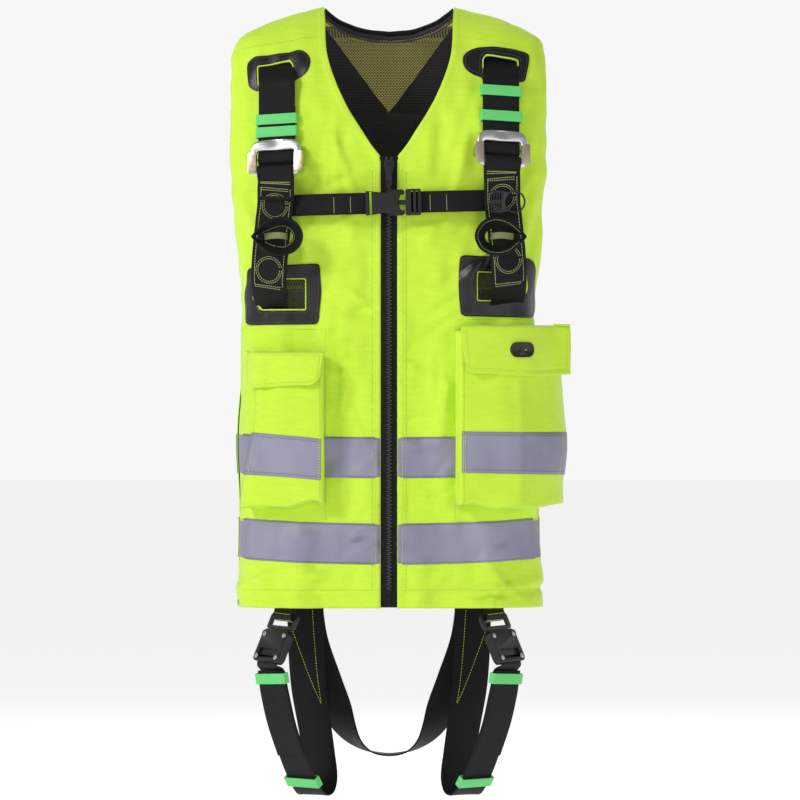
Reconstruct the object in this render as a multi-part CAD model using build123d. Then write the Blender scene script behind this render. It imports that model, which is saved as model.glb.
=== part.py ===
"""Safety harness vest: a sleeveless zip work vest with a full-body harness threaded through it.

Millimetres. +Z up, the wearer faces -Y, +X is the wearer's left. The origin is the middle of the
neck opening at the height of the shoulder line, where the vest rests on the wearer.
Left-hand pieces are drawn at +X, and most right-hand pieces are their mirror images.
"""
import math
import os

from build123d import *

# ---- driving dimensions -------------------------------------------------------------------------
HEM_Z = -735.0            # bottom edge of the vest
NECK_HALF = 77.0          # half width of the neck opening
ROUNDNESS = 3.4           # exponent of the torso's superellipse
SECTION_POINTS = 32        # corners of each torso section
REACH = 260.0             # cutting shapes reach this far, past every layer of the vest
CLOTH = 2.0               # shell fabric with its seam allowance
LINING_IN = 15.0          # space between the shell and the mesh lining, where the webbing runs
LINING = 1.2
LINING_END_Z = -640.0
SEW_GAP = 0.15            # a sewn-on layer stands this far off the layer below
PATCH = 1.3               # moulded window surround
BAND = 0.7                # reflective band
BINDING_T = 1.0           # neck binding
BAND_H = 50.0
BAND_TOPS = {"upper": -528.0, "lower": -631.0}

WEB_W = 45.0              # main webbing
WEB_T = 2.0
CHEST_W = 26.0            # chest strap webbing

ZIP_HALF = 10.0           # half width of the gap that the zip fills
ZIP_TOP = -186.0
ZIP_Y = -112.0            # front face of the vest along the zip
TOOTH_PITCH = 4.5

STRAP_X = 136.5           # centre of the shoulder straps
RUN_TOP = (STRAP_X, -88.0, -95.0)       # the straight run of shoulder webbing that the keepers
RUN_END = (STRAP_X, -112.0, -178.0)     # slide on, down to the adjuster's bar
RUN_TURN = 12.0           # how far the shoulder webbing turns outward, in degrees
ADJUSTER_Z = {"left": -178.0, "right": -189.0}
KEEPER_Z = {"left": (-106.0, -137.0), "right": (-141.0, -156.5)}
KEEPER = (51.0, 9.4, 13.0)              # outside width, depth, height

CHEST_Z = -243.0
CHEST_TILT = 1.5          # the chest strap rises towards the wearer's left, in degrees
CHEST_Y = -131.0          # middle of the chest buckle

DORSAL_Z = -160.0         # hinge line of the dorsal D-ring, where the straps cross
DORSAL_Y = 112.0
D_ROD = 4.0               # radius of the D-ring's rod
D_HALF = 30.0             # half width of the D, between rod centres
D_LEG = 20.0
DORSAL_WINDOW = (46.0, 14.0)            # half width and half height
DORSAL_RIM = 14.0         # how wide the surround of that window is
LEG_TURN = 42.0           # how far the front of a leg strap faces outward, in degrees

# height, half width, front depth, back depth of the torso
TORSO = (
    (HEM_Z, 186, 112, 108), (-620, 184, 112, 104), (-520, 187, 112, 101), (-420, 179, 112, 98),
    (-340, 179, 112, 99), (-270, 190, 112, 102), (-200, 196, 112, 103), (-160, 198, 108, 100),
    (-120, 198, 97, 92), (-80, 196, 78, 78), (-55, 192, 64, 65), (-38, 183, 52, 54),
    (-24, 158, 40, 42), (-12, 127, 28, 30), (0, 82, 13, 15),
)


# ---- torso shape --------------------------------------------------------------------------------
def torso_rows(out):
    """The torso's sections grown outward by out, upward too where the shoulders slope."""
    grown = []
    for i, (z, half, front, rear) in enumerate(TORSO):
        below, above = TORSO[max(i - 1, 0)], TORSO[min(i + 1, len(TORSO) - 1)]
        lean = max(0.0, math.atan2(below[1] - above[1], above[0] - below[0]))
        grow = out * math.cos(lean)
        grown.append((z + out * math.sin(lean), half + grow, front + grow, rear + grow))
    return grown


def torso_at(z, out=0.0):
    """Half width, front depth and back depth of the grown torso at a height."""
    rows = torso_rows(out)
    z = min(max(z, rows[0][0]), rows[-1][0])
    for low, high in zip(rows, rows[1:]):
        if z <= high[0]:
            share = (z - low[0]) / (high[0] - low[0])
            return [low[i] + share * (high[i] - low[i]) for i in (1, 2, 3)]


def torso_y(x, z, back=False, out=0.0):
    """Y of the grown torso's surface."""
    half, front, rear = torso_at(z, out)
    share = max(0.0, 1.0 - (abs(x) / half) ** ROUNDNESS) ** (1 / ROUNDNESS)
    return rear * share if back else -front * share


def torso_outline(z, out):
    """Closed section of the grown torso."""
    half, front, rear = torso_at(z, out)
    points = []
    for i in range(SECTION_POINTS):
        angle = 2 * math.pi * i / SECTION_POINTS - math.pi / 2
        c, s = math.cos(angle), math.sin(angle)
        depth = rear if s > 0 else front
        reach = ((abs(c) / half) ** ROUNDNESS + (abs(s) / depth) ** ROUNDNESS) ** (-1 / ROUNDNESS)
        points.append((reach * c, reach * s, z))
    return Wire([Spline(*points, periodic=True)])


def torso(out, z0=HEM_Z, z1=100.0):
    """The grown torso between two heights as a solid, with its end outlines."""
    rows = torso_rows(out)
    top = min(z1, rows[-1][0])
    heights = [z0] + [row[0] for row in rows if z0 + 1 < row[0] < top - 1] + [top]
    wires = [torso_outline(z, out) for z in heights]
    return Solid.make_loft(wires, ruled=True), wires[0], wires[-1]


def slab(inner, outer, z0=HEM_Z, z1=100.0):
    """The layer between two offsets of the torso, as one hollow tube."""
    core, core_foot, core_top = torso(inner, z0, z1)
    skin, skin_foot, skin_top = torso(outer, z0, z1)
    top_rim = Solid.make_loft([core_top, skin_top], ruled=True) if z1 > 0 else None
    walls = [*core.faces(), *skin.faces(), *(top_rim.faces() if top_rim else [])]
    faces = [face for face in walls if face.geom_type != GeomType.PLANE]
    faces.append(Face(skin_foot, [core_foot]))
    if not top_rim:
        faces.append(Face(skin_top, [core_top]))
    return Solid(Shell(faces))


def prism(x0, x1, z0, z1, back=False):
    """Everything behind or in front of a rectangle in the XZ plane."""
    middle = REACH / 2 if back else -REACH / 2
    return Pos((x0 + x1) / 2, middle, (z0 + z1) / 2) * Box(abs(x1 - x0), REACH, abs(z1 - z0))


def outline_prism(points, back=False):
    """As prism, for any outline of (x, z) points."""
    face = make_face(Polyline(*[(x, 0, z) for x, z in points], close=True))
    return extrude(face, amount=REACH, dir=(0, 1 if back else -1, 0))


def mirrored(shape):
    return mirror(shape, Plane.YZ)


def unit(v):
    return Vector(*v).normalized()


# ---- webbing ------------------------------------------------------------------------------------
def ribbon(stations, width=WEB_W, thick=WEB_T):
    """Webbing through stations of (point, direction of its width), square-cut at both ends."""
    points = [Vector(*p) for p, _ in stations]
    faces = []
    for i, (point, (_, wide)) in enumerate(zip(points, stations)):
        along = (points[min(i + 1, len(points) - 1)] - points[max(i - 1, 0)]).normalized()
        across = Vector(*wide)
        across = (across - along * across.dot(along)).normalized()
        faces.append(Plane(point, x_dir=across, z_dir=along) * Rectangle(width, thick))
    return loft(faces, ruled=True)


def on_torso(x, z, back, out):
    """Station on the grown torso: a point, and the surface's sideways tangent there."""
    slope = (torso_y(x + 1, z, back, out) - torso_y(x - 1, z, back, out)) / 2
    return (x, torso_y(x, z, back, out), z), (1, slope, 0)


def run_plane(z):
    """Frame on the shoulder webbing's straight run: X across it, +Y towards the wearer, Z up it."""
    share = (z - RUN_TOP[2]) / (RUN_END[2] - RUN_TOP[2])
    point = Vector(*RUN_TOP) + (Vector(*RUN_END) - Vector(*RUN_TOP)) * share
    up = (Vector(*RUN_TOP) - Vector(*RUN_END)).normalized()
    turn = math.radians(RUN_TURN)
    across = Vector(math.cos(turn), math.sin(turn), 0)
    across = (across - up * across.dot(up)).normalized()
    return Plane(point, x_dir=across, z_dir=up)


def local_stations(plane, points):
    """Stations whose points are (depth, height) in a plane's own YZ."""
    return [(tuple(plane.from_local_coords((0, y, z))), tuple(plane.x_dir)) for y, z in points]


def arc_points(centre, radius, start, end, steps=6):
    """(depth, height) points on an arc, angles in degrees from +depth towards +height."""
    angles = [math.radians(start + (end - start) * i / steps) for i in range(steps + 1)]
    return [(centre[0] + radius * math.cos(t), centre[1] + radius * math.sin(t)) for t in angles]


# ---- vest ---------------------------------------------------------------------------------------
NECK_CURVE = ((77, 12), (77, -22), (75, -63), (66, -92), (52, -123), (35, -151), (20, -174))
UPPER_WINDOW = (112, 161, -94, -66)
LOWER_WINDOW = (101, 166, -374, -334)
UPPER_PATCH = ((101, -98), (112, -98), (112, -60), (150, -60), (162, -64), (162, -101), (171, -101),
               (174, -66), (168, -56), (136, -51), (116, -50), (101, -58), (97, -72), (99, -86))
LOWER_PATCH = (84, 172, -388, -314)
YOKE = ((-230, -56), (-80, -34), (80, -34), (230, -56), (230, HEM_Z - 5), (-230, HEM_Z - 5))
ARMHOLE = (58.0, 150.0, -197.0)         # half depth, half height and middle of the arm openings
ARMHOLE_CORNERS = 24
ARMHOLE_FROM_X = 120.0
POCKETS = {
    # side: x range, z range, depth
    "right": ((78, 166), (-616, -432), 26.0),
    "left": ((80, 215), (-612, -400), 30.0),
}
FLAPS = {
    # side: x range, z range, y of the hinge line's inner end, flare at the outer end
    "right": ((77, 168), (-466, -424), -121.0, (173, -86)),
    "left": ((84, 198), (-452, -392), -118.0, (221, -66)),
}
FLAP_SLOPE = 0.364        # the hinge lines run back towards the sides
POCKET_CLOTH = 2.0
FLAP_CLOTH = 2.0
FLAP_OUT = 3.6            # the flap's front hangs this far in front of its pocket


def neck_cut():
    front = [(-x, z) for x, z in NECK_CURVE] + [(-ZIP_HALF, ZIP_TOP), (ZIP_HALF, ZIP_TOP)]
    front += list(reversed(NECK_CURVE))
    scoop = [(-NECK_HALF, 12), (-NECK_HALF, -4), (-55, -20), (-28, -29), (0, -32), (28, -29),
             (55, -20), (NECK_HALF, -4), (NECK_HALF, 12)]
    return outline_prism(front) + outline_prism(scoop, back=True)


def armholes():
    """Many-sided tubes through both sides, kept clear of the middle."""
    half_depth, half_height, middle_z = ARMHOLE
    turns = [math.tau * i / ARMHOLE_CORNERS for i in range(ARMHOLE_CORNERS)]
    corners = [(half_depth * math.cos(turn), half_height * math.sin(turn)) for turn in turns]
    hole = extrude(Plane.YZ * make_face(Polyline(*corners, close=True)), amount=REACH, both=True)
    return Pos(0, 0, middle_z) * (hole - Box(2 * ARMHOLE_FROM_X, 2 * REACH, 4 * REACH))


def garment(inner, outer, z0=HEM_Z):
    """A layer of the torso with its neck and arm openings."""
    return slab(inner, outer, z0) - neck_cut() - armholes()


def vest_shell():
    shell = garment(-CLOTH, 0)
    front = outline_prism(YOKE)
    wide, high = DORSAL_WINDOW
    back = shell - front - prism(-wide, wide, DORSAL_Z - high, DORSAL_Z + high, back=True)
    fronts = shell & front
    left = fronts & prism(ZIP_HALF, REACH, HEM_Z, 0)
    right = fronts & prism(-REACH, -ZIP_HALF, HEM_Z, 0)
    for x0, x1, z0, z1 in (UPPER_WINDOW, LOWER_WINDOW):
        left -= prism(x0, x1, z0, z1)
        right -= prism(-x1, -x0, z0, z1)
    return {"back_panel": back, "front_panel_left": left, "front_panel_right": right}


def mesh_lining():
    layer = garment(-LINING_IN - LINING, -LINING_IN, LINING_END_Z)
    return layer - prism(-ZIP_HALF, ZIP_HALF, HEM_Z, 0)


def neck_binding():
    """The bound edge round the back of the neck, along the scoop."""
    foot_z = -60
    rim = slab(-CLOTH - BINDING_T - 0.6, BINDING_T, foot_z)
    low = [(-70, -13), (-55, -25.5), (-28, -34.5), (0, -37.5), (28, -34.5), (55, -25.5), (70, -13)]
    high = [(70, -10.5), (55, -20.2), (28, -29.2), (0, -32.2), (-28, -29.2), (-55, -20.2), (-70, -10.5)]
    strip = rim & outline_prism(low + high, back=True)
    return strip - slab(-CLOTH - 0.1, 0.1, foot_z)


def zipper():
    """Two tapes, two chains of teeth, the top stops and the bottom box."""
    length = ZIP_TOP - HEM_Z - 2
    middle = (ZIP_TOP + HEM_Z) / 2
    tape = Pos((ZIP_HALF + 0.4) / 2, ZIP_Y - 0.2, middle) * Box(ZIP_HALF - 0.8, 1.2, length)
    teeth_top, teeth_count = ZIP_TOP - 20, int((length - 36) / TOOTH_PITCH)
    half = TOOTH_PITCH / 2

    def chain(sign, shift):
        """A comb whose teeth reach past the middle, between those of the other chain."""
        points = [(sign * 3.4, teeth_top)]
        points += [(sign * 3.4, teeth_top - teeth_count * TOOTH_PITCH - half)]
        for i in range(teeth_count, 0, -1):
            z = teeth_top - i * TOOTH_PITCH + shift
            points += [(sign * 2.2, z - half + 0.35), (-sign * 1.6, z - half + 0.35),
                       (-sign * 1.6, z - 0.35), (sign * 2.2, z - 0.35)]
        points += [(sign * 2.2, teeth_top)]
        face = make_face(Polyline(*[(x, ZIP_Y - 1.0, z) for x, z in points], close=True))
        return extrude(face, amount=2.6, dir=(0, -1, 0))

    teeth = [chain(1, half), chain(-1, 0)]
    stop = Pos(3.2, ZIP_Y - 2.2, ZIP_TOP - 2.6) * Box(2.4, 2.4, 3.2)
    box = Pos(0, ZIP_Y - 2.4, HEM_Z + 9) * Box(12.0, 2.8, 13.0)
    box -= Pos(2.6, ZIP_Y - 3.4, HEM_Z + 10.5) * Box(0.6, 1.2, 12)
    return {
        "zipper_tapes": Compound([tape, mirrored(tape)]),
        "zipper_teeth": Compound([*teeth, stop, mirrored(stop), box]),
    }


SLIDER_Z = ZIP_TOP - 12.0        # middle of the slider's body
PULLER_Z = SLIDER_Z + 2.0        # hinge pin of the puller
PULLER_Y = ZIP_Y - 9.4


def zipper_slider():
    """Front and back plates with the ears and pin that hold the puller."""
    outline = Polyline((-5.4, 0, 8), (5.4, 0, 8), (6.2, 0, 2), (4.4, 0, -8), (-4.4, 0, -8), (-6.2, 0, 2),
                       close=True)
    plate = extrude(make_face(outline), amount=1.8, dir=(0, -1, 0))
    front = Pos(0, ZIP_Y - 4.2, SLIDER_Z) * plate
    back = Pos(0, ZIP_Y + 2.6, SLIDER_Z) * plate
    ears = [Pos(x, PULLER_Y + 1.4, PULLER_Z) * Box(1.0, 4.2, 3.6) for x in (-2.8, 2.8)]
    pin = Pos(0, PULLER_Y, PULLER_Z) * Rot(0, 90, 0) * Cylinder(0.8, 5.6)
    return Compound([front + ears[0] + ears[1] + pin, back])


def zipper_puller():
    bore = Rot(0, 90, 0) * Cylinder(0.87, 6)
    body = Rot(0, 90, 0) * Cylinder(1.9, 4.0) + Pos(0, 0, -14) * Box(4.0, 1.8, 28)
    body += Pos(0, 0, -17) * Box(7.4, 1.8, 18)
    body -= bore
    body -= Pos(0, 0, -21.5) * Box(4.2, 4, 4.6)
    return Pos(0, PULLER_Y, PULLER_Z) * body


def pocket_prism(side, x_range, z_range):
    sign = 1 if side == "left" else -1
    cut = prism(sign * x_range[0], sign * x_range[1], *z_range)
    return cut & Pos(0, -160, -500) * Box(600, 242, 900)


def pocket(side):
    """A bellows pocket that stands off the front panel, open at its top under the flap."""
    (x0, x1), (z0, z1), depth = POCKETS[side]
    c = POCKET_CLOTH
    body = slab(SEW_GAP, depth, z0, z1) & pocket_prism(side, (x0, x1), (z0 - 9, z1 + 9))
    hollow = slab(SEW_GAP + c, depth - c, z0 + c, z1 + 9)
    return body - (hollow & pocket_prism(side, (x0 + c, x1 - c), (z0 - 9, z1 + 19)))


def pocket_flap(side):
    """The flap's front, and the shelf that joins it to its straight hinge line."""
    (x0, x1), (z0, z1), hinge_y, flare = FLAPS[side]
    depth = POCKETS[side][2] + FLAP_OUT
    middle = (z0 + z1) / 2
    columns = [x0 + (x1 - x0) * i / 8 for i in range(9)]
    front = [(x, torso_y(x, middle, out=depth)) for x in columns] + [flare]
    flap = ribbon([((x, y, middle), (0, 0, 1)) for x, y in front], width=z1 - z0, thick=FLAP_CLOTH)
    hinge = [(flare[0], hinge_y + FLAP_SLOPE * (flare[0] - x0)), (x0, hinge_y)]
    shelf = make_face(Polyline(*[(x, y, z1) for x, y in front + hinge], close=True))
    flap += extrude(shelf, amount=FLAP_CLOTH, dir=(0, 0, -1))
    return flap if side == "left" else mirrored(flap)


def reflective_band(name):
    """A band round the vest, broken at the zip; the upper one steps over the pockets."""
    top = BAND_TOPS[name]
    layer = slab(SEW_GAP, SEW_GAP + BAND, top - BAND_H, top) - prism(-ZIP_HALF, ZIP_HALF, HEM_Z, 0)
    if name == "lower":
        return layer
    pieces = []
    for side in ("left", "right"):
        (x0, x1), _, depth = POCKETS[side]
        layer -= pocket_prism(side, (x0 - 0.5, x1 + 0.5), (top - 80, top + 30))
        over = slab(depth + SEW_GAP, depth + SEW_GAP + BAND, top - BAND_H, top)
        pieces += (over & pocket_prism(side, (x0 + 2, x1 - 2), (top - 80, top + 30))).solids()
    return Compound([*layer.solids(), *pieces])


def window_patches():
    """Moulded surrounds of the strap windows, and of the D-ring's window."""
    layer = slab(SEW_GAP, SEW_GAP + PATCH, -420)
    upper = layer & outline_prism(UPPER_PATCH)
    x0, x1, z0, z1 = LOWER_PATCH
    wx0, wx1, wz0, wz1 = LOWER_WINDOW
    lower = (layer & prism(x0, x1, z0, z1)) - prism(wx0, wx1, wz0, wz1)
    wide, high = DORSAL_WINDOW
    far_wide, far_high = wide + DORSAL_RIM, high + DORSAL_RIM
    dorsal = layer & prism(-far_wide, far_wide, DORSAL_Z - far_high, DORSAL_Z + far_high, back=True)
    dorsal -= prism(-wide, wide, DORSAL_Z - high, DORSAL_Z + high, back=True)
    return {
        "upper_window_patch_left": upper, "upper_window_patch_right": mirrored(upper),
        "lower_window_patch_left": lower, "lower_window_patch_right": mirrored(lower),
        "dorsal_window_patch": dorsal,
    }


BADGE_AT = (161.0, -422.0)      # x and z of the badge's middle
BADGE = (27.0, 17.5, 1.2)       # width, height, thickness


def badge():
    """Blank oval badge on the left pocket's flap."""
    x, z = BADGE_AT
    width, height, thick = BADGE
    depth = POCKETS["left"][2] + FLAP_OUT + FLAP_CLOTH / 2 + 0.3
    layer = slab(depth, depth + thick, z - height, z + height)
    cut = Pos(x, 0, z) * extrude(Plane.XZ * SlotOverall(width, height), amount=REACH)
    return layer & cut


# ---- harness: shoulders -------------------------------------------------------------------------
ROD_DEPTH, ROD_R = 3.6, 2.2      # the adjuster's sliding bar, behind the webbing that wraps it
TURN_DROP = 2.0                  # slack below the bar, which is its downward travel
TAIL_DEPTH = 2.7                 # the tail lies this far behind the strap
SHOULDER_DEPTH = -7.5            # webbing inside the vest, measured from the shell's face
CROSSING_DEPTH = {"left": -5.8, "right": -9.2}     # the two straps cross on the back
HIP_DEPTH = -9.5


OVER_FRONT = ((-87, -82), (-80, -73), (-72.5, -62), (-66, -54), (-59, -47.5))   # z and y
OVER_TOP = (
    # point, direction of the width
    ((117, -14, -19.5), (1, 0, -0.3)), ((111, 2, -17), (1, 0.1, -0.3)), ((104, 18, -19.5), (1, 0.2, -0.25)),
)
DOWN_BACK = (
    # x and z on the back, from one shoulder to the other hip
    (93, -34), (78, -55), (60, -80), (42, -105), (22, -132), (0, DORSAL_Z), (-22, -188), (-46, -240),
    (-68, -310), (-88, -400), (-102, -500), (-110, -600), (-111, -646),
)
BACK_END = (((-110, 78, -668), (1, -0.1, 0)), ((-108, 50, -686), (1, 0, 0)), ((-106, 40, -696), (1, 0, 0)))


def shoulder_webbing(side):
    """One strap: from the adjuster over the shoulder, across the back and down to the other hip."""
    plane = run_plane(ADJUSTER_Z[side])
    rise = (KEEPER_Z[side][0] + 16 - ADJUSTER_Z[side]) / math.cos(math.radians(16))
    turn = arc_points((ROD_DEPTH, -TURN_DROP), ROD_DEPTH, 0, -180)
    tail = [(TAIL_DEPTH, rise), (TAIL_DEPTH, 20), (TAIL_DEPTH + 1.2, 12), (2 * ROD_DEPTH - 0.4, 5)]
    stations = local_stations(plane, tail + turn + [(0, 14)])
    stations.append((tuple(run_plane(RUN_TOP[2]).origin), tuple(plane.x_dir)))
    stations += [((STRAP_X, y, z), (1, 0.19, 0)) for z, y in OVER_FRONT]
    stations += [on_torso(x, z, False, SHOULDER_DEPTH) for x, z in ((133, -45), (126, -33))]
    stations += OVER_TOP
    stations += [on_torso(x, z, True, CROSSING_DEPTH[side]) for x, z in DOWN_BACK]
    stations += BACK_END
    return ribbon(stations)


CHEST_FRONT = (
    # degrees that the width turns outward, point: down the front and in at the lower window
    (12, (137.6, -118.6, -242)), (12, (140, -117.6, -264)), (12, (143, -116.6, -292)),
    (15, (145.4, -115, -320)), (20, (146, -110.5, -340)), (26, (145.4, -101, -355)),
    (32, (143.5, -88, -367)), (35, (142.8, -79.5, -379)),
)
INSIDE_FRONT = ((144, -396), (141, -450), (137, -520), (131, -590), (124, -650), (118, -690))   # x and z


def chest_webbing(side):
    """One strap: from a loop on the adjuster's lower bar, down into the lower window, to the hip."""
    plane = run_plane(ADJUSTER_Z[side])
    x, y, z = tuple(plane.origin)
    across = tuple(plane.x_dir)
    stations = [((x + 1, y - 6.5, z - 51), across), ((x + 0.8, y - 9.0, z - 39), across),
                ((x + 0.6, y - 10.8, z - 30), across)]
    loop = arc_points((-5, -15.2), 4.8, 0, 180)
    stations += local_stations(plane, [(-0.2, -19.5)] + loop + [(-9.8, -18.5)])
    stations += [((x + 0.5, y - 14.0, z - 27), across), ((x + 0.8, y - 11.6, z - 38), across)]
    for turn, point in CHEST_FRONT:
        turn = math.radians(turn)
        stations.append((point, (math.cos(turn), math.sin(turn), 0)))
    stations += [on_torso(x, z, False, HIP_DEPTH) for x, z in INSIDE_FRONT]
    return ribbon(stations)


def keeper(plane, slot_low=-1.6, slot_high=4.3):
    """A moulded sleeve round the webbing."""
    width, depth, height = KEEPER
    middle = (slot_low + slot_high) / 2
    sleeve = Pos(0, middle, 0) * Box(width, depth, height)
    sleeve = fillet(sleeve.edges().filter_by(Axis.Z), 1.6)
    sleeve -= Pos(0, middle, 0) * Box(WEB_W + 1.4, slot_high - slot_low, height + 2)
    return plane.location * sleeve


def adjuster_frame(side):
    """Pressed frame: a tall upper bar with a thumb hollow, two rails and a lower bar."""
    outer = Pos(0, -5, -1) * Box(63, 4, 46)
    outer = fillet(outer.edges().filter_by(Axis.Y), 6)
    outer -= Pos(0, -5, -1.2) * Box(47, 6, 22.4)
    outer -= Pos(0, -5, -22.5) * Box(47, 6, 9)
    outer -= Pos(0, -16.4, 17) * Sphere(12)
    return run_plane(ADJUSTER_Z[side]).location * outer


def adjuster_bar(side):
    """Sliding bar whose ends hook round the rails to tabs on the front."""
    rod = Pos(0, ROD_DEPTH, 0) * Rot(0, 90, 0) * Cylinder(ROD_R, 68)
    bar = rod
    for sign in (-1, 1):
        tab = Pos(sign * 28.7, -8.5, -7) * Box(10.4, 2, 26)
        tab = fillet(tab.edges().filter_by(Axis.Y), 2.4)
        cheek = Pos(sign * 33, -1.6, -3) * Box(2, 15.8, 12)
        bar += tab + cheek
    return run_plane(ADJUSTER_Z[side]).location * bar


LOOP_ROOT = (163.0, -124.5, -284.0)
PARK_CLIP = (140.5, -124.4, -241.5)


def sternal_loop():
    """Loop of folded webbing rooted at the strap's outer edge, leaning over the strap."""
    x, y, z = LOOP_ROOT
    path = ((0, 2), (-10, 9.5), (-22, 16), (-36, 18.5), (-49, 13), (-56, 1), (-51, -11), (-37, -18),
            (-22, -16.5), (-10, -9.5), (0, -2))
    stations = []
    for i, (dx, dz) in enumerate(path):
        before, after = path[max(i - 1, 0)], path[min(i + 1, len(path) - 1)]
        along = Vector(after[0] - before[0], 0, after[1] - before[1]).normalized()
        outward = Vector(along.Z, 0, -along.X) * -1
        reach = min(1.0, -dx / 20)
        stations.append(((x + dx, y - 11.5 * reach - 1.2, z + dz),
                         tuple(Vector(0, 1, 0) + outward * 0.75 * reach)))
    return ribbon(stations, width=19, thick=2.4)


def lanyard_park_clip():
    """Slotted plate with a thin break-away ring, on the left strap at the chest strap's height."""
    plate = Pos(-10.5, 0, 0) * Box(14, 2.4, 27)
    for column in range(4):
        for row in (-6.4, 6.4):
            plate -= Pos(-15.3 + 3.2 * column, 0, row) * Box(1.5, 4, 9)
    web = make_face(Polyline((-4, 0, 13), (4.5, 0, 11.5), (4.5, 0, -11.5), (-4, 0, -13), close=True))
    web = Pos(0, 1.1, 0) * extrude(web, amount=2.2, dir=(0, -1, 0))
    ring = Pos(12, 0, 0) * Rot(90, 0, 0) * Cylinder(13.6, 2.2)
    ring = web + ring - Pos(12, 0, 0) * Rot(90, 0, 0) * Cylinder(11.8, 6)
    turn = math.radians(RUN_TURN)
    plane = Plane(PARK_CLIP, x_dir=(math.cos(turn), math.sin(turn), 0), z_dir=(0, 0, 1))
    return plane.location * (plate + ring)


# ---- harness: chest strap -----------------------------------------------------------------------
def chest_plane(x=0.0):
    tilt = math.radians(CHEST_TILT)
    return Plane((x * math.cos(tilt), CHEST_Y, CHEST_Z + x * math.sin(tilt)),
                 x_dir=(math.cos(tilt), 0, math.sin(tilt)), z_dir=(-math.sin(tilt), 0, math.cos(tilt)))


# the belt's halves: x of the end in the buckle, and how far behind the buckle's middle they lie
BELT = {"left": (27.0, 4.1), "right": (23.6, 1.8)}
BELT_T = 1.6
BELT_ROUTE = ((158, 29.5), (137, 19.0), (113, 12.5), (88, 5.6), (76, 4.2))     # x and depth


def chest_strap(side):
    """Chest webbing from under the shoulder strap to the buckle."""
    plane = chest_plane()
    sign = 1 if side == "left" else -1
    end_x, depth = BELT[side]
    route = [*BELT_ROUTE, (64, depth), (end_x, depth)]
    stations = [(tuple(plane.from_local_coords((sign * x, y, 0))), tuple(plane.z_dir)) for x, y in route]
    return ribbon(stations, width=CHEST_W, thick=BELT_T)


SOCKET_T = 11.0           # outside depth of the buckle's socket
SOCKET_GAP = 6.8          # room between its two plates
PRONG_T = 5.8             # depth of a prong, which slides in that gap
BLADE = (20, 3.2, 6)      # the plug's centre blade
PLUG_FRAME = (19, 8, 32)  # the plug's ladder frame
CHANNEL = (26, 4.4, CHEST_W + 1)        # channel in its back that the belt lies in
SLOT_X = (28.2, 34.2)     # slots that the belt threads through
SLOT = (2.4, 12, CHEST_W + 1)


def chest_buckle_socket():
    """Front and back plates joined at the strap end, which leave room for the plug's prongs."""
    half = [(-28, 15), (-12, 13), (-4, 12), (6, 15), (17, 16)]
    outline = half + [(11, 0)] + [(x, -z) for x, z in reversed(half)]
    face = make_face(Polyline(*[(x, 0, z) for x, z in outline], close=True))
    body = extrude(face, amount=SOCKET_T / 2, dir=(0, -1, 0), both=True)
    body -= Pos(8.5, 0, 0) * Box(27, SOCKET_GAP, 60)
    body -= Pos(-22.6, 0, 0) * Box(3.2, 30, CHEST_W + 1)
    return chest_plane().location * (body - Pos(-26, 1.8, 0) * Box(6, 2.6, CHEST_W + 1))


def chest_buckle_plug():
    """Ladder frame for the webbing and the plug's centre blade."""
    frame = Pos(29.5, -0.6, 0) * Box(*PLUG_FRAME)
    frame = fillet(frame.edges().filter_by(Axis.Y), 2.5)
    frame -= Pos(30.5, 2.6, 0) * Box(*CHANNEL)
    for x in SLOT_X:
        frame -= Pos(x, -2, 0) * Box(*SLOT)
    blade = Pos(11, 0, 0) * Box(*BLADE)
    return chest_plane().location * (frame + blade)


PRONG_PIVOT = (17.0, 12.5)       # x and height of a prong's flexing root


def chest_buckle_prong():
    """Upper prong: a springy arm with the thumb press on its outer edge."""
    outline = ((19.2, 14.6), (19.2, 9.5), (4, 8.2), (-4, 6), (-4, 9), (0, 13.5), (6, 16.2), (12, 15.6))
    face = make_face(Polyline(*[(x, 0, z) for x, z in outline], close=True))
    arm = extrude(face, amount=PRONG_T / 2, dir=(0, -1, 0), both=True)
    return chest_plane().location * (arm - Pos(24.9, 0, 0) * Box(12, 20, 60))


# ---- harness: back ------------------------------------------------------------------------------
LUG_X = 39.5              # the plate's lugs stand outside the crossing straps


def dorsal_plate():
    """Plate behind the crossing straps, with two lugs that reach out and hold the D-ring."""
    plate = slab(-13.4, -11.4, DORSAL_Z - 36, DORSAL_Z + 36)
    outline = RectangleRounded(96, 68, 18)
    plate &= Pos(0, 0, DORSAL_Z) * extrude(Plane.XZ * outline, amount=-200)
    for x in (-LUG_X, LUG_X):
        pivot = Pos(x, DORSAL_Y, DORSAL_Z)
        plate += Pos(x, (DORSAL_Y + 87) / 2, DORSAL_Z) * Box(7, DORSAL_Y - 87, 12)
        plate += pivot * Rot(0, 90, 0) * Cylinder(7.2, 7)
        plate -= pivot * Rot(0, 90, 0) * Cylinder(D_ROD + 0.06, 9)
    return plate


def dorsal_d_ring():
    """Forged D-ring that hangs from its hinge bar."""
    ring = Rot(0, 90, 0) * Cylinder(D_ROD, 2 * LUG_X + 12)
    for x in (-D_HALF, D_HALF):
        ring += Pos(x, 0, -D_LEG / 2) * Cylinder(D_ROD, D_LEG)
    bow = Rot(90, 0, 0) * Torus(D_HALF, D_ROD) & Pos(0, 0, -25) * Box(120, 20, 50)
    return Pos(0, DORSAL_Y, DORSAL_Z) * (ring + Pos(0, 0, -D_LEG) * bow)


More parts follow.
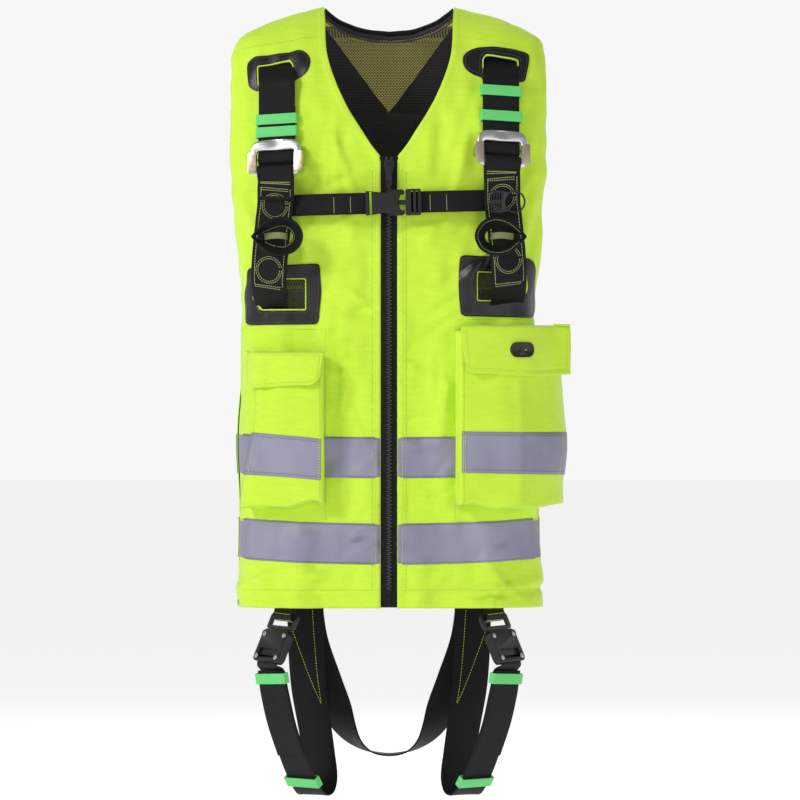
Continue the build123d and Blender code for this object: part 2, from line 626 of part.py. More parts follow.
# ---- harness: legs ------------------------------------------------------------------------------
LEG_ROUTE = (
    # point, direction of the width
    ((104, 9, -704), (1, 0.0, 0)), ((103, 12, -745), (1, 0.05, 0)), ((102, 15, -787), (1, 0.1, 0)),
    ((99, 19, -835), (1, 0.25, 0)), ((92, 21, -882), (1, 0.45, 0)), ((86, 17, -920), (1, 0.6, 0)),
    ((83, 6, -948), (1, 0.7, 0)), ((87, -10, -963), (1, 0.75, 0)), ((95, -27, -964), (1, 0.8, 0)),
    ((105, -43, -948), (1, 0.85, 0)), ((118, -57, -915), (1, 0.88, 0)),
    ((130, -66, -878), (1, 0.9, 0)), ((138, -71, -842), (1, 0.9, 0)), ((141.6, -73.3, -821), (1, 1.0, 0)),
    ((142.9, -74.3, -812), (1, 1.05, 0)),
)
SEAT_ROUTE = (
    ((105, 13, -704), (1, 0.0, 0)), ((103.5, 16, -740), (1, 0.0, 0)), ((97, 20, -781), (1, 0.06, 0)),
    ((80, 25, -828), (1, 0.25, 0)), ((67, 29, -858), (1, 0.5, 0)), ((56, 32, -883), (0.8, 0.8, 0)),
    ((43, 34, -902), (0.5, 1, 0)), ((27, 35.5, -914), (0.2, 1, 0)), ((9, 36, -919), (0.0, 1, 0)),
)
BUCKLE_AT = (140.7, -72.6, -783.0)
BUCKLE_ACROSS = (0.56, 0.83, -0.02)
BUCKLE_DOWN = (0.36, -0.20, -0.912)
BODY_HALF = 21.0          # half height of a leg buckle's body
EYE_Z = 33.0              # middle of the tongue's eye, above the body's middle
EYE_BAR_Z = 40.5          # its upper bar, which the short strap wraps


def buckle_plane():
    """Frame of a leg buckle: X across it, Z up it, -Y out of its face."""
    across, down = unit(BUCKLE_ACROSS), unit(BUCKLE_DOWN)
    across = (across - down * across.dot(down)).normalized()
    return Plane(Vector(*BUCKLE_AT), x_dir=across, z_dir=down * -1)


def leg_webbing():
    """The thigh loop up into the buckle, and the tail that lies on its front below the buckle."""
    plane = buckle_plane()
    entry = local_stations(plane, [(0.6, -BODY_HALF - 3), (0, -BODY_HALF + 7)])
    loop = ribbon(list(LEG_ROUTE) + entry)
    tail = []
    for (x, y, z), wide in LEG_ROUTE[-5:]:
        out = Vector(*wide).cross(Vector(0, 0, 1)).normalized()
        tail.append(((x + out.X * 2.3, y + out.Y * 2.3, z), wide))
    return Compound([loop, ribbon(tail)])


def seat_webbing():
    """Sub-pelvic strap: one webbing that hangs in a U from hip to hip."""
    right = [((-x, y, z), (-wx, wy, -wz)) for (x, y, z), (wx, wy, wz) in SEAT_ROUTE]
    return ribbon(list(SEAT_ROUTE) + list(reversed(right)))


def leg_buckle_body():
    """Two plates round the tongue's slot and the webbing's slot, with a window in the front."""
    body = Pos(0, 0, 0) * Box(58, 10, 2 * BODY_HALF)
    body = fillet(body.edges().filter_by(Axis.Y), 7)
    body -= Pos(0, 0, BODY_HALF - 11) * Box(45, 3.4, 24)
    body -= Pos(0, 0, -BODY_HALF + 4) * Box(WEB_W + 1.6, 4.4, 10)
    body -= Pos(0, -5, -BODY_HALF + 11) * Box(42, 5.6, 12)
    return buckle_plane().location * body


def leg_buckle_rivets():
    heads = [Pos(x, -5.6, z) * Rot(90, 0, 0) * Cylinder(3.2, 1.2) for x in (-22, 22) for z in (14, -15)]
    return buckle_plane().location * Compound(heads)


def leg_buckle_lever():
    """Side release lever on the outer edge of the body."""
    arm = Pos(30.7, 0, 3) * Box(2.6, 5, 26)
    return buckle_plane().location * (arm + Pos(31.6, 0, 17) * Rot(90, 0, 0) * Cylinder(3, 5))


def leg_buckle_tongue():
    """Flat tongue with a wide eye for the short strap."""
    blade = Pos(0, 0, 12.6) * Box(40, 2.4, 21)
    eye = fillet((Pos(0, 0, EYE_Z) * Box(62, 3.4, 21)).edges().filter_by(Axis.Y), 5)
    eye -= Pos(0, 0, EYE_Z - 0.5) * Box(48, 6, 10)
    return buckle_plane().location * (blade + eye)


def tongue_webbing():
    """Short strap that loops through the tongue's eye and goes up to the hip."""
    stations = local_stations(buckle_plane(), arc_points((0, EYE_BAR_Z), 4.9, 0, -180))
    stations += local_stations(buckle_plane(), [(-4.9, EYE_BAR_Z + 6)])
    stations += [((127, -64, -722), (0.58, 0.81, 0)), ((125, -62, -706), (0.62, 0.78, 0))]
    return ribbon(stations, width=44)


def leg_keeper_plane(index):
    """A keeper on the leg webbing at one of its stations."""
    point, wide = LEG_ROUTE[index]
    after, before = LEG_ROUTE[min(index + 1, len(LEG_ROUTE) - 1)][0], LEG_ROUTE[index - 1][0]
    up = (Vector(*after) - Vector(*before)).normalized()
    across = Vector(*wide)
    across = (across - up * across.dot(up)).normalized()
    return Plane(Vector(*point), x_dir=across, z_dir=up)


# ---- assembly -----------------------------------------------------------------------------------
def build():
    nodes = {}
    nodes.update(vest_shell())
    nodes["mesh_lining"] = mesh_lining()
    nodes["neck_binding"] = neck_binding()
    nodes.update(zipper())
    nodes["zipper_slider"] = zipper_slider()
    nodes["zipper_puller"] = zipper_puller()
    nodes.update(window_patches())
    for name in BAND_TOPS:
        nodes[f"reflective_band_{name}"] = reflective_band(name)
    nodes["badge"] = badge()
    nodes["lanyard_park_clip"] = lanyard_park_clip()
    nodes["chest_buckle_socket"] = chest_buckle_socket()
    nodes["chest_buckle_plug"] = chest_buckle_plug()
    prong = chest_buckle_prong()
    nodes["chest_buckle_prong_upper"] = prong
    nodes["chest_buckle_prong_lower"] = chest_plane().location * Rot(180, 0, 0) * (
        chest_plane().location.inverse() * prong)
    nodes["chest_strap_left"] = chest_strap("left")
    nodes["chest_strap_right"] = chest_strap("right")
    nodes["dorsal_plate"] = dorsal_plate()
    nodes["dorsal_d_ring"] = dorsal_d_ring()
    nodes["seat_webbing"] = seat_webbing()
    rivets = leg_buckle_rivets()
    nodes["leg_buckle_rivets"] = Compound([*rivets.solids(), *mirrored(rivets).solids()])

    sided = {
        "sternal_loop": sternal_loop(),
        "leg_webbing": leg_webbing(),
        "leg_buckle_body": leg_buckle_body(),
        "leg_buckle_tongue": leg_buckle_tongue(),
        "tongue_webbing": tongue_webbing(),
        "leg_buckle_lever": leg_buckle_lever(),
        "leg_keeper_upper": keeper(leg_keeper_plane(13), -4.9, 2.3),
        "leg_keeper_lower": keeper(leg_keeper_plane(9), -3.2, 3.2),
    }
    for name, shape in sided.items():
        nodes[f"{name}_left"] = shape
        nodes[f"{name}_right"] = mirrored(shape)

    for side in ("left", "right"):
        turn = mirrored if side == "right" else (lambda shape: shape)
        nodes[f"pocket_{side}"] = pocket(side)
        nodes[f"pocket_flap_{side}"] = pocket_flap(side)
        nodes[f"shoulder_webbing_{side}"] = turn(shoulder_webbing(side))
        nodes[f"chest_webbing_{side}"] = turn(chest_webbing(side))
        nodes[f"adjuster_frame_{side}"] = turn(adjuster_frame(side))
        nodes[f"adjuster_bar_{side}"] = turn(adjuster_bar(side))
        for label, z in zip(("upper", "lower"), KEEPER_Z[side]):
            nodes[f"shoulder_keeper_{label}_{side}"] = turn(keeper(run_plane(z)))
    return nodes


os.makedirs("parts", exist_ok=True)
for name, shape in build().items():
    export_step(shape, f"parts/{name}.step")
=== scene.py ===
import math
import random

import bmesh
import bpy
import numpy as np
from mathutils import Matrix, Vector


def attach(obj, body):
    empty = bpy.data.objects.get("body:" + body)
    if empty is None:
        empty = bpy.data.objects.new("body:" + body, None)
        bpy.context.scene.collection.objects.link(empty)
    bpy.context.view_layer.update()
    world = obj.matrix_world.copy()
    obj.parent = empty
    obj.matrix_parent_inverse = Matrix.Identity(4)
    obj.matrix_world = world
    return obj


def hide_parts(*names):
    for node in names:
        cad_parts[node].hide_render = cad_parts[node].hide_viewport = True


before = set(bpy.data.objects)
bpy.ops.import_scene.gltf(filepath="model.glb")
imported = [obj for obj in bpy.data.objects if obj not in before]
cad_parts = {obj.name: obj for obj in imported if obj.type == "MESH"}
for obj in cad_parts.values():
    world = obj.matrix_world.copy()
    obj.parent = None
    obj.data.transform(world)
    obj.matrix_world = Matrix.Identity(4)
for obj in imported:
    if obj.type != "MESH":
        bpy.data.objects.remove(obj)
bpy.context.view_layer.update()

MM = 0.001
FLOOR_Z = -1.02


# ---- camera, light and floor --------------------------------------------------------------------
def add_camera():
    data = bpy.data.cameras.new("camera")
    data.lens = 36.0 * (9.0 - 0.07) / 0.976
    data.sensor_width = 36.0
    data.clip_end = 200.0
    camera = bpy.data.objects.new("camera", data)
    camera.location = (0.0134, -9.0, -0.482)
    camera.rotation_euler = (math.radians(90), 0, 0)
    bpy.context.scene.collection.objects.link(camera)
    bpy.context.scene.camera = camera


def add_light(name, place, size, power, aim=(0, 0, -0.45)):
    data = bpy.data.lights.new(name, "AREA")
    data.size = size
    data.energy = power
    light = bpy.data.objects.new(name, data)
    light.location = place
    light.rotation_euler = (Vector(aim) - Vector(place)).to_track_quat("-Z", "Y").to_euler()
    bpy.context.scene.collection.objects.link(light)


def add_studio():
    """Soft light from a world that is brightest level with the object, and two large lamps."""
    world = bpy.data.worlds.new("studio")
    bpy.context.scene.world = world
    world.use_nodes = True
    nodes, links = world.node_tree.nodes, world.node_tree.links
    background = nodes["Background"]
    background.inputs["Color"].default_value = (1, 1, 1, 1)
    coord = nodes.new("ShaderNodeTexCoord")
    split = nodes.new("ShaderNodeSeparateXYZ")
    height = nodes.new("ShaderNodeMath")
    height.operation = "ABSOLUTE"
    fade = nodes.new("ShaderNodeMapRange")
    for socket, value in (("From Min", 0.10), ("From Max", 0.45), ("To Min", 0.93), ("To Max", 0.26)):
        fade.inputs[socket].default_value = value
    links.new(coord.outputs["Generated"], split.inputs[0])
    links.new(split.outputs["Z"], height.inputs[0])
    links.new(height.outputs[0], fade.inputs["Value"])
    links.new(fade.outputs["Result"], background.inputs["Strength"])
    add_light("key", (-3.0, -2.6, 1.9), 1.0, 100)
    add_light("fill", (2.6, -2.8, 0.2), 1.6, 10)
    add_light("rim", (0.5, 2.8, 1.4), 1.6, 30)
    bpy.context.scene.view_settings.view_transform = "Standard"
    corners = [(-40, -40, FLOOR_Z), (40, -40, FLOOR_Z), (40, 40, FLOOR_Z), (-40, 40, FLOOR_Z)]
    floor = sheet_from_points("studio_floor", corners)
    floor.data.materials.append(floor_material())


def floor_material():
    shader = Shader("floor_paint")
    shader.put(Base_Color=(0.45, 0.45, 0.45, 1), Roughness=0.9, Specular_IOR_Level=0.0)
    shader.put(Emission_Color=(1, 1, 1, 1), Emission_Strength=0.74)
    return shader.material


def sheet_from_points(name, points):
    mesh = bpy.data.meshes.new(name)
    mesh.from_pydata(points, [], [tuple(range(len(points)))])
    obj = bpy.data.objects.new(name, mesh)
    bpy.context.scene.collection.objects.link(obj)
    return obj


# ---- materials ----------------------------------------------------------------------------------
class Shader:
    """A material's node tree, with short calls for the nodes used here."""

    def __init__(self, name):
        self.material = bpy.data.materials.new(name)
        self.material.use_nodes = True
        self.tree = self.material.node_tree
        self.bsdf = self.tree.nodes["Principled BSDF"]

    def node(self, kind, **settings):
        made = self.tree.nodes.new(kind)
        for key, value in settings.items():
            setattr(made, key, value)
        return made

    def link(self, source, target):
        self.tree.links.new(source, target)

    def put(self, **values):
        for key, value in values.items():
            self.bsdf.inputs[key.replace("_", " ")].default_value = value

    def coordinates(self, scale, use="UV"):
        """Coordinates in metres times scale."""
        coord = self.node("ShaderNodeTexCoord")
        mapping = self.node("ShaderNodeMapping")
        mapping.inputs["Scale"].default_value = scale
        self.link(coord.outputs[use], mapping.inputs["Vector"])
        return mapping.outputs["Vector"]

    def noise(self, scale, detail=4.0, use="Object", stretch=(1, 1, 1)):
        made = self.node("ShaderNodeTexNoise")
        made.inputs["Scale"].default_value = scale
        made.inputs["Detail"].default_value = detail
        self.link(self.coordinates(stretch, use), made.inputs["Vector"])
        return made.outputs["Fac"]

    def wave(self, pitch, direction="X", use="UV", distortion=0.0):
        """Ridges at a pitch in metres along U (X) or V (Y)."""
        made = self.node("ShaderNodeTexWave", bands_direction=direction)
        made.inputs["Scale"].default_value = 1.0
        made.inputs["Distortion"].default_value = distortion
        turns = 2 * math.pi / (20 * pitch)
        self.link(self.coordinates((turns, turns, turns), use), made.inputs["Vector"])
        return made.outputs["Fac"]

    def math(self, operation, first, second):
        made = self.node("ShaderNodeMath", operation=operation)
        for socket, value in zip(made.inputs, (first, second)):
            if isinstance(value, (int, float)):
                socket.default_value = value
            else:
                self.link(value, socket)
        return made.outputs[0]

    def ramp(self, fac, low, high, start=0.0, end=1.0):
        made = self.node("ShaderNodeMapRange")
        made.inputs["From Min"].default_value = start
        made.inputs["From Max"].default_value = end
        made.inputs["To Min"].default_value = low
        made.inputs["To Max"].default_value = high
        self.link(fac, made.inputs["Value"])
        return made.outputs["Result"]

    def mix(self, fac, first, second):
        made = self.node("ShaderNodeMix", data_type="RGBA")
        made.inputs[6].default_value = (*first, 1)
        made.inputs[7].default_value = (*second, 1)
        self.link(fac, made.inputs[0])
        return made.outputs[2]

    def colour(self, source):
        self.link(source, self.bsdf.inputs["Base Color"])

    def bump(self, height, distance, strength=1.0):
        made = self.node("ShaderNodeBump")
        made.inputs["Distance"].default_value = distance
        made.inputs["Strength"].default_value = strength
        self.link(height, made.inputs["Height"])
        previous = self.bsdf.inputs["Normal"].links
        if previous:
            self.link(previous[0].from_socket, made.inputs["Normal"])
        self.link(made.outputs["Normal"], self.bsdf.inputs["Normal"])


def plain(name, colour, roughness=0.5, metallic=0.0):
    shader = Shader(name)
    shader.put(Base_Color=(*colour, 1), Roughness=roughness, Metallic=metallic)
    return shader.material


def cloth_material(name, colour, shade, glow):
    """Fluorescent woven polyester: fine weave, faint slubs, and a little light of its own."""
    shader = Shader(name)
    slub = shader.noise(55, 6, stretch=(1, 1, 4))
    patch = shader.noise(7, 3)
    shader.colour(shader.mix(shader.ramp(shader.math("ADD", slub, patch), 0, 1, 0.75, 1.25), colour, shade))
    shader.put(Roughness=0.78, Sheen_Weight=0.25, Sheen_Roughness=0.4)
    shader.put(Emission_Color=(*colour, 1), Emission_Strength=glow)
    weave = shader.math("ADD", shader.wave(0.0009, "X"), shader.wave(0.0009, "Y"))
    shader.bump(weave, 0.00012, 0.5)
    shader.bump(shader.noise(230, 4, stretch=(1, 1, 2.5)), 0.0006, 0.35)
    shader.bump(shader.noise(24, 5), 0.003, 0.22)
    return shader.material


def reflective_material():
    shader = Shader("reflective_tape")
    bead = shader.noise(1400, 2)
    worn = shader.noise(16, 6, stretch=(1, 1, 0.5))
    shader.colour(shader.mix(shader.ramp(worn, 0, 1, 0.35, 0.65), (0.235, 0.23, 0.32), (0.30, 0.295, 0.40)))
    shader.put(Roughness=0.62, Metallic=0.15)
    shader.bump(bead, 0.00008, 0.5)
    shader.bump(shader.noise(26, 4), 0.003, 0.16)
    return shader.material


def webbing_material(name, colour, pitch=0.0016):
    """Woven strap: ribs across the width with a twill step, and edge cords; the rib crests carry a painted
    highlight.
    """
    shader = Shader(name)
    ribs = shader.wave(pitch, "Y")
    warp = shader.wave(pitch * 0.62, "X")
    shader.put(Roughness=0.55, Specular_IOR_Level=0.22, Sheen_Weight=0.01, Sheen_Roughness=0.5)
    fuzz = shader.noise(420, 4)
    # painted highlight: the colour is lightened 2.2 times on the rib crests, where the bump rises
    light = tuple(c * 2.2 for c in colour)
    shader.colour(shader.mix(shader.math("MULTIPLY", shader.math("MULTIPLY", ribs, warp), fuzz),
                             colour, light))
    shader.bump(shader.math("MULTIPLY", ribs, warp), 0.0004, 0.8)
    shader.bump(fuzz, 0.0003, 0.25)
    return shader.material


def leather_material():
    shader = Shader("black_pu")
    grain = shader.node("ShaderNodeTexVoronoi")
    grain.inputs["Scale"].default_value = 900
    shader.link(shader.coordinates((1, 1, 1), "Object"), grain.inputs["Vector"])
    shader.put(Base_Color=(0.008, 0.008, 0.0095, 1), Roughness=0.34, Specular_IOR_Level=0.4)
    shader.bump(grain.outputs["Distance"], 0.0003, 0.3)
    shader.bump(shader.noise(60, 4), 0.0016, 0.35)
    return shader.material


def mesh_material(name, pitch, row_pitch, hole):
    """Knitted mesh: rows of round holes, each row shifted by half a hole."""
    shader = Shader(name)
    coord = shader.coordinates((1 / pitch, 1 / row_pitch, 1), "UV")
    split = shader.node("ShaderNodeSeparateXYZ")
    shader.link(coord, split.inputs[0])
    row = shader.math("FLOOR", split.outputs[1], 0)
    shift = shader.math("MULTIPLY", shader.math("PINGPONG", row, 1.0), 0.5)
    u = shader.math("SUBTRACT", shader.math("FRACT", shader.math("ADD", split.outputs[0], shift), 0), 0.5)
    v = shader.math("SUBTRACT", shader.math("FRACT", split.outputs[1], 0), 0.5)
    reach = shader.math("ADD", shader.math("MULTIPLY", u, u), shader.math("MULTIPLY", v, v))
    open_fac = shader.math("LESS_THAN", reach, hole * hole)
    shader.put(Base_Color=(0.055, 0.048, 0.054, 1), Roughness=0.6)
    clear = shader.node("ShaderNodeBsdfTransparent")
    both = shader.node("ShaderNodeMixShader")
    shader.link(open_fac, both.inputs[0])
    shader.link(shader.bsdf.outputs[0], both.inputs[1])
    shader.link(clear.outputs[0], both.inputs[2])
    shader.link(both.outputs[0], shader.tree.nodes["Material Output"].inputs["Surface"])
    return shader.material


def plastic_material(name, colour, roughness=0.42, grain=0.25):
    shader = Shader(name)
    shader.put(Base_Color=(*colour, 1), Roughness=roughness, Specular_IOR_Level=0.38)
    rough = shader.noise(90, 4)
    shader.link(shader.ramp(rough, roughness - 0.08, roughness + 0.12, 0.3, 0.7),
                shader.bsdf.inputs["Roughness"])
    shader.bump(shader.noise(1500, 2), 0.00006, grain)
    return shader.material


def metal_material(name, colour, roughness, brushed=True):
    shader = Shader(name)
    shader.put(Base_Color=(*colour, 1), Metallic=1.0, Roughness=roughness)
    streak = shader.noise(500, 3, stretch=(0.12, 1, 1)) if brushed else shader.noise(120, 4)
    shader.link(shader.ramp(streak, roughness - 0.07, roughness + 0.12, 0.3, 0.7),
                shader.bsdf.inputs["Roughness"])
    shader.bump(shader.noise(160, 4), 0.0002, 0.2)
    return shader.material


YELLOW = (0.57, 0.84, 0.045)
YELLOW_SHADE = (0.53, 0.78, 0.030)


def make_materials():
    return {
        "shell_fabric": cloth_material("shell_fabric", YELLOW, YELLOW_SHADE, 0.05),
        "black_mesh": mesh_material("black_mesh", 0.0036, 0.0021, 0.40),
        "reflective_tape": reflective_material(),
        "black_pu": leather_material(),
        "black_webbing": webbing_material("black_webbing", (0.0034, 0.0034, 0.0042)),
        "black_plastic": plastic_material("black_plastic", (0.009, 0.009, 0.010), 0.34),
        "badge_plastic": plastic_material("badge_plastic", (0.02, 0.02, 0.02), 0.4),
        "green_elastic": plastic_material("green_elastic", (0.13, 0.62, 0.17), 0.45),
        "zipper_metal": plastic_material("zipper_metal", (0.045, 0.045, 0.050), 0.22),
        "bare_aluminium": metal_material("bare_aluminium", (0.72, 0.71, 0.70), 0.34),
        "forged_steel": metal_material("forged_steel", (0.66, 0.66, 0.66), 0.32, False),
        "black_steel": plastic_material("black_steel", (0.018, 0.018, 0.02), 0.3),
        "brass_anodised": metal_material("brass_anodised", (0.62, 0.54, 0.40), 0.36),
        "yellow_thread": plain("yellow_thread", (0.60, 0.76, 0.12), 0.7),
        "pale_thread": plain("pale_thread", (0.58, 0.66, 0.25), 0.7),
        "grey_thread": plain("grey_thread", (0.09, 0.09, 0.11), 0.8),
        # painted light: a cloth colour that glows, standing in for daylight shining through the back's single
        # layer of cloth
        "backlight_glow_fabric": cloth_material("backlight_glow_fabric", (0.60, 0.55, 0.13), (0.52, 0.48, 0.10), 0.34),
        "label_cloth": plain("label_cloth", (0.20, 0.23, 0.09), 0.8),
    }


MAT = make_materials()


def paint(obj, name):
    obj.data.materials.clear()
    obj.data.materials.append(MAT[name])


# ---- mesh helpers -------------------------------------------------------------------------------
def make_object(name, points, faces, material, body, uvs=None, smooth=True):
    """A mesh object from millimetre points, riding on a body."""
    mesh = bpy.data.meshes.new(name)
    mesh.from_pydata((np.asarray(points, float) * MM).tolist(), [], faces)
    if uvs is not None:
        layer = mesh.uv_layers.new(name="UVMap")
        flat = np.asarray(uvs, float)[[v for face in faces for v in face]] * MM
        layer.data.foreach_set("uv", flat.astype(np.float32).ravel())
    mesh.polygons.foreach_set("use_smooth", [smooth] * len(mesh.polygons))
    obj = bpy.data.objects.new(name, mesh)
    bpy.context.scene.collection.objects.link(obj)
    paint(obj, material)
    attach(obj, body)
    return obj


def bake(obj):
    """Applies the object's modifiers."""
    bpy.context.view_layer.update()
    graph = bpy.context.evaluated_depsgraph_get()
    done = bpy.data.meshes.new_from_object(obj.evaluated_get(graph))
    old = obj.data
    obj.modifiers.clear()
    obj.data = done
    bpy.data.meshes.remove(old)


def grid_uv(grid):
    """Distances along the columns and rows of a grid of points, in millimetres."""
    across = np.linalg.norm(np.diff(grid, axis=1), axis=2)
    down = np.linalg.norm(np.diff(grid, axis=0), axis=2)
    u = np.concatenate([np.zeros((len(grid), 1)), np.cumsum(across, axis=1)], axis=1)
    v = np.concatenate([np.zeros((1, grid.shape[1])), np.cumsum(down, axis=0)], axis=0)
    middle = grid.shape[1] // 2
    return np.stack([u - u[:, middle:middle + 1],
                     np.repeat(v[:, middle:middle + 1], grid.shape[1], 1)], axis=2)


def cloth_grid(name, grid, material, body, thick=1.0, drop=None, flip=False):
    """A sheet through a grid of points, given a real thickness behind its face."""
    rows, columns = grid.shape[:2]
    uv = grid_uv(grid).reshape(-1, 2)
    faces = []
    for r in range(rows - 1):
        for c in range(columns - 1):
            if drop is not None and drop[r, c]:
                continue
            a = r * columns + c
            quad = (a, a + 1, a + columns + 1, a + columns)
            faces.append(quad[::-1] if flip else quad)
    obj = make_object(name, grid.reshape(-1, 3), faces, material, body, uv)
    tidy_mesh(obj)
    solid = obj.modifiers.new("solid", "SOLIDIFY")
    solid.thickness = thick * MM
    solid.offset = -1.0
    bake(obj)
    return obj


def tidy_mesh(obj):
    """Drops loose points and joins those that coincide."""
    work = bmesh.new()
    work.from_mesh(obj.data)
    bmesh.ops.remove_doubles(work, verts=work.verts, dist=1e-6)
    loose = [v for v in work.verts if not v.link_faces]
    bmesh.ops.delete(work, geom=loose, context="VERTS")
    work.to_mesh(obj.data)
    work.free()


def join_meshes(name, parts, body, material):
    """One object from several (points, faces) lists in millimetres."""
    points, faces = [], []
    for own_points, own_faces in parts:
        start = len(points)
        points.extend(own_points)
        faces.extend([tuple(i + start for i in face) for face in own_faces])
    return make_object(name, points, faces, material, body, uvs=np.asarray(points)[:, [0, 2]])


def bevel(obj, width, segments=3, angle=35):
    made = obj.modifiers.new("bevel", "BEVEL")
    made.width = width * MM
    made.segments = segments
    made.limit_method = "ANGLE"
    made.angle_limit = math.radians(angle)
    made.harden_normals = True
    bake(obj)


def refine(node, material, body, width=0.6, name=None, segments=3):
    """A finished copy of a CAD piece: flat facets joined, edges rounded."""
    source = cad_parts[node]
    mesh = source.data.copy()
    obj = bpy.data.objects.new(name or f"{node}_finished", mesh)
    bpy.context.scene.collection.objects.link(obj)
    work = bmesh.new()
    work.from_mesh(mesh)
    bmesh.ops.remove_doubles(work, verts=work.verts, dist=2e-6)
    bmesh.ops.dissolve_limit(work, angle_limit=math.radians(1.2), verts=work.verts, edges=work.edges)
    work.to_mesh(mesh)
    work.free()
    mesh.polygons.foreach_set("use_smooth", [True] * len(mesh.polygons))
    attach(obj, body)
    paint(obj, material)
    bevel(obj, width, segments)
    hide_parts(node)
    return obj


# ---- the torso that the vest hangs on -----------------------------------------------------------
HEM_Z = -735.0
ROUNDNESS = 3.4
TORSO = np.array((
    (-735, 186, 112, 108), (-620, 184, 112, 104), (-520, 187, 112, 101), (-420, 179, 112, 98),
    (-340, 179, 112, 99), (-270, 190, 112, 102), (-200, 196, 112, 103), (-160, 198, 108, 100),
    (-120, 198, 97, 92), (-80, 196, 78, 78), (-55, 192, 64, 65), (-38, 183, 52, 54),
    (-24, 158, 40, 42), (-12, 127, 28, 30), (0, 82, 13, 15),
), float)
TANGENTS = np.gradient(TORSO[:, 1:], TORSO[:, 0], axis=0)


def torso_at(z):
    """Half width, front depth and back depth at heights, as smooth curves through the table."""
    z = np.clip(np.asarray(z, float), TORSO[0, 0], TORSO[-1, 0])
    i = np.clip(np.searchsorted(TORSO[:, 0], z, side="right") - 1, 0, len(TORSO) - 2)
    h = TORSO[i + 1, 0] - TORSO[i, 0]
    t = ((z - TORSO[i, 0]) / h)[..., None]
    h = h[..., None]
    low, high = TORSO[i, 1:], TORSO[i + 1, 1:]
    return ((2 * t**3 - 3 * t**2 + 1) * low + (t**3 - 2 * t**2 + t) * h * TANGENTS[i]
            + (3 * t**2 - 2 * t**3) * high + (t**3 - t**2) * h * TANGENTS[i + 1])


def ease(t):
    t = np.clip(t, 0, 1)
    return t * t * (3 - 2 * t)


def ripple(x, z, waves):
    """A sum of sine waves given as (amplitude, x wavelength, z wavelength, phase)."""
    total = 0.0
    for size, wx, wz, phase in waves:
        total = total + size * np.sin(2 * math.pi * (x / wx + z / wz) + phase)
    return total


BROAD = ((3.0, 118, 900, 0.4), (2.1, 74, -520, 2.1), (1.6, 47, 610, 4.0), (1.5, 160, 230, 1.0))
SMALL = ((0.50, 31, 120, 0.2), (0.42, 24, -95, 1.7), (0.38, 70, 41, 3.3), (0.34, -55, 33, 5.0))
DEEPEST_FOLD = {"front": -3.4, "back": -2.4}    # the webbing runs behind this


def random_creases(count, x_range, z_range, tilt, length, seed):
    own = random.Random(seed)
    made = []
    for _ in range(count):
        x, z = own.uniform(*x_range), own.uniform(*z_range)
        angle = math.radians(own.gauss(*tilt))
        reach = own.uniform(*length) / 2
        made.append((x, z, math.cos(angle), math.sin(angle), reach, own.uniform(3.5, 8),
                     own.choice((-1, 1)) * own.uniform(2.4, 5.6)))
    return made


# x, z, direction, half length, width, height; for the half on the wearer's left at +X
CREASES = {
    1: (random_creases(24, (14, 66), (-720, -210), (12, 16), (30, 80), 3)
        + random_creases(9, (110, 180), (-350, -190), (66, 14), (50, 120), 4)
        + random_creases(10, (20, 180), (-730, -640), (10, 22), (50, 120), 5)
        + random_creases(8, (40, 150), (-330, -90), (82, 16), (60, 150), 6)
        + random_creases(6, (30, 84), (-620, -380), (60, 30), (40, 110), 7)),
    -1: (random_creases(24, (14, 66), (-720, -210), (-12, 16), (30, 80), 13)
         + random_creases(9, (110, 180), (-350, -190), (70, 14), (50, 120), 14)
         + random_creases(10, (20, 180), (-730, -640), (-8, 22), (50, 120), 15)
         + random_creases(8, (40, 150), (-330, -90), (80, 16), (60, 150), 16)
         + random_creases(6, (30, 80), (-620, -380), (66, 30), (40, 110), 17)),
    0: random_creases(34, (-170, 170), (-720, -90), (84, 22), (60, 190), 23),
}


def creases(x, z, rows):
    total = np.zeros(np.broadcast(x, z).shape)
    for cx, cz, dx, dz, reach, width, height in rows:
        along = (x - cx) * dx + (z - cz) * dz
        off = (z - cz) * dx - (x - cx) * dz
        total += height * np.exp(-(off / width) ** 2) * np.exp(-(along / reach) ** 4)
    return total


POCKET_PANEL = {1: (80, 195, -628, -384), -1: (77, 183, -628, -396)}


def no_deeper(height, low, softness=0.5):
    """Height, eased so that it never falls below low."""
    return low + softness * np.logaddexp(0, (height - low) / softness)


def folds(x, z, back):
    """How far the cloth stands off its smooth shape, in millimetres, at x and height z."""
    x, z = np.broadcast_arrays(np.asarray(x, float), np.asarray(z, float))
    loose = 0.35 + 0.65 * ease((-z - 120) / 420)
    calm = 1 - 0.75 * ease((z + 70) / 50)
    total = ripple(x + (300 if back else 0), z, BROAD) * loose
    total = total + ripple(x, z, SMALL)
    if back:
        total = (total + creases(x, z, CREASES[0])) * calm * ease((170 - np.abs(x)) / 30 + 0.4)
        return no_deeper(total, DEEPEST_FOLD["back"])
    side = np.where(x >= 0, 1, -1)
    near_zip = np.exp(-(np.abs(x) - 10) / 24)
    pucker = np.sin(z / 6.3 + 2.2 * np.sin(z / 37.0)) + 0.6 * np.sin(z / 4.1 + 1.3)
    total = total * (1 - 0.8 * near_zip) + 1.0 * near_zip * pucker
    for sign in (1, -1):
        own = creases(np.abs(x), z, CREASES[sign])
        total = total + np.where(side == sign, own, 0) * (1 - 0.9 * near_zip)
        x0, x1, z0, z1 = POCKET_PANEL[sign]
        inside = (side == sign) & (np.abs(x) > x0) & (np.abs(x) < x1) & (z > z0) & (z < z1)
        total = total + np.where(inside, 0.7, 0)
    at_zip = ease((26 - np.abs(x)) / 14)
    total = total * (1 - at_zip) + np.maximum(total, -0.2) * at_zip
    return no_deeper(total * calm, DEEPEST_FOLD["front"])


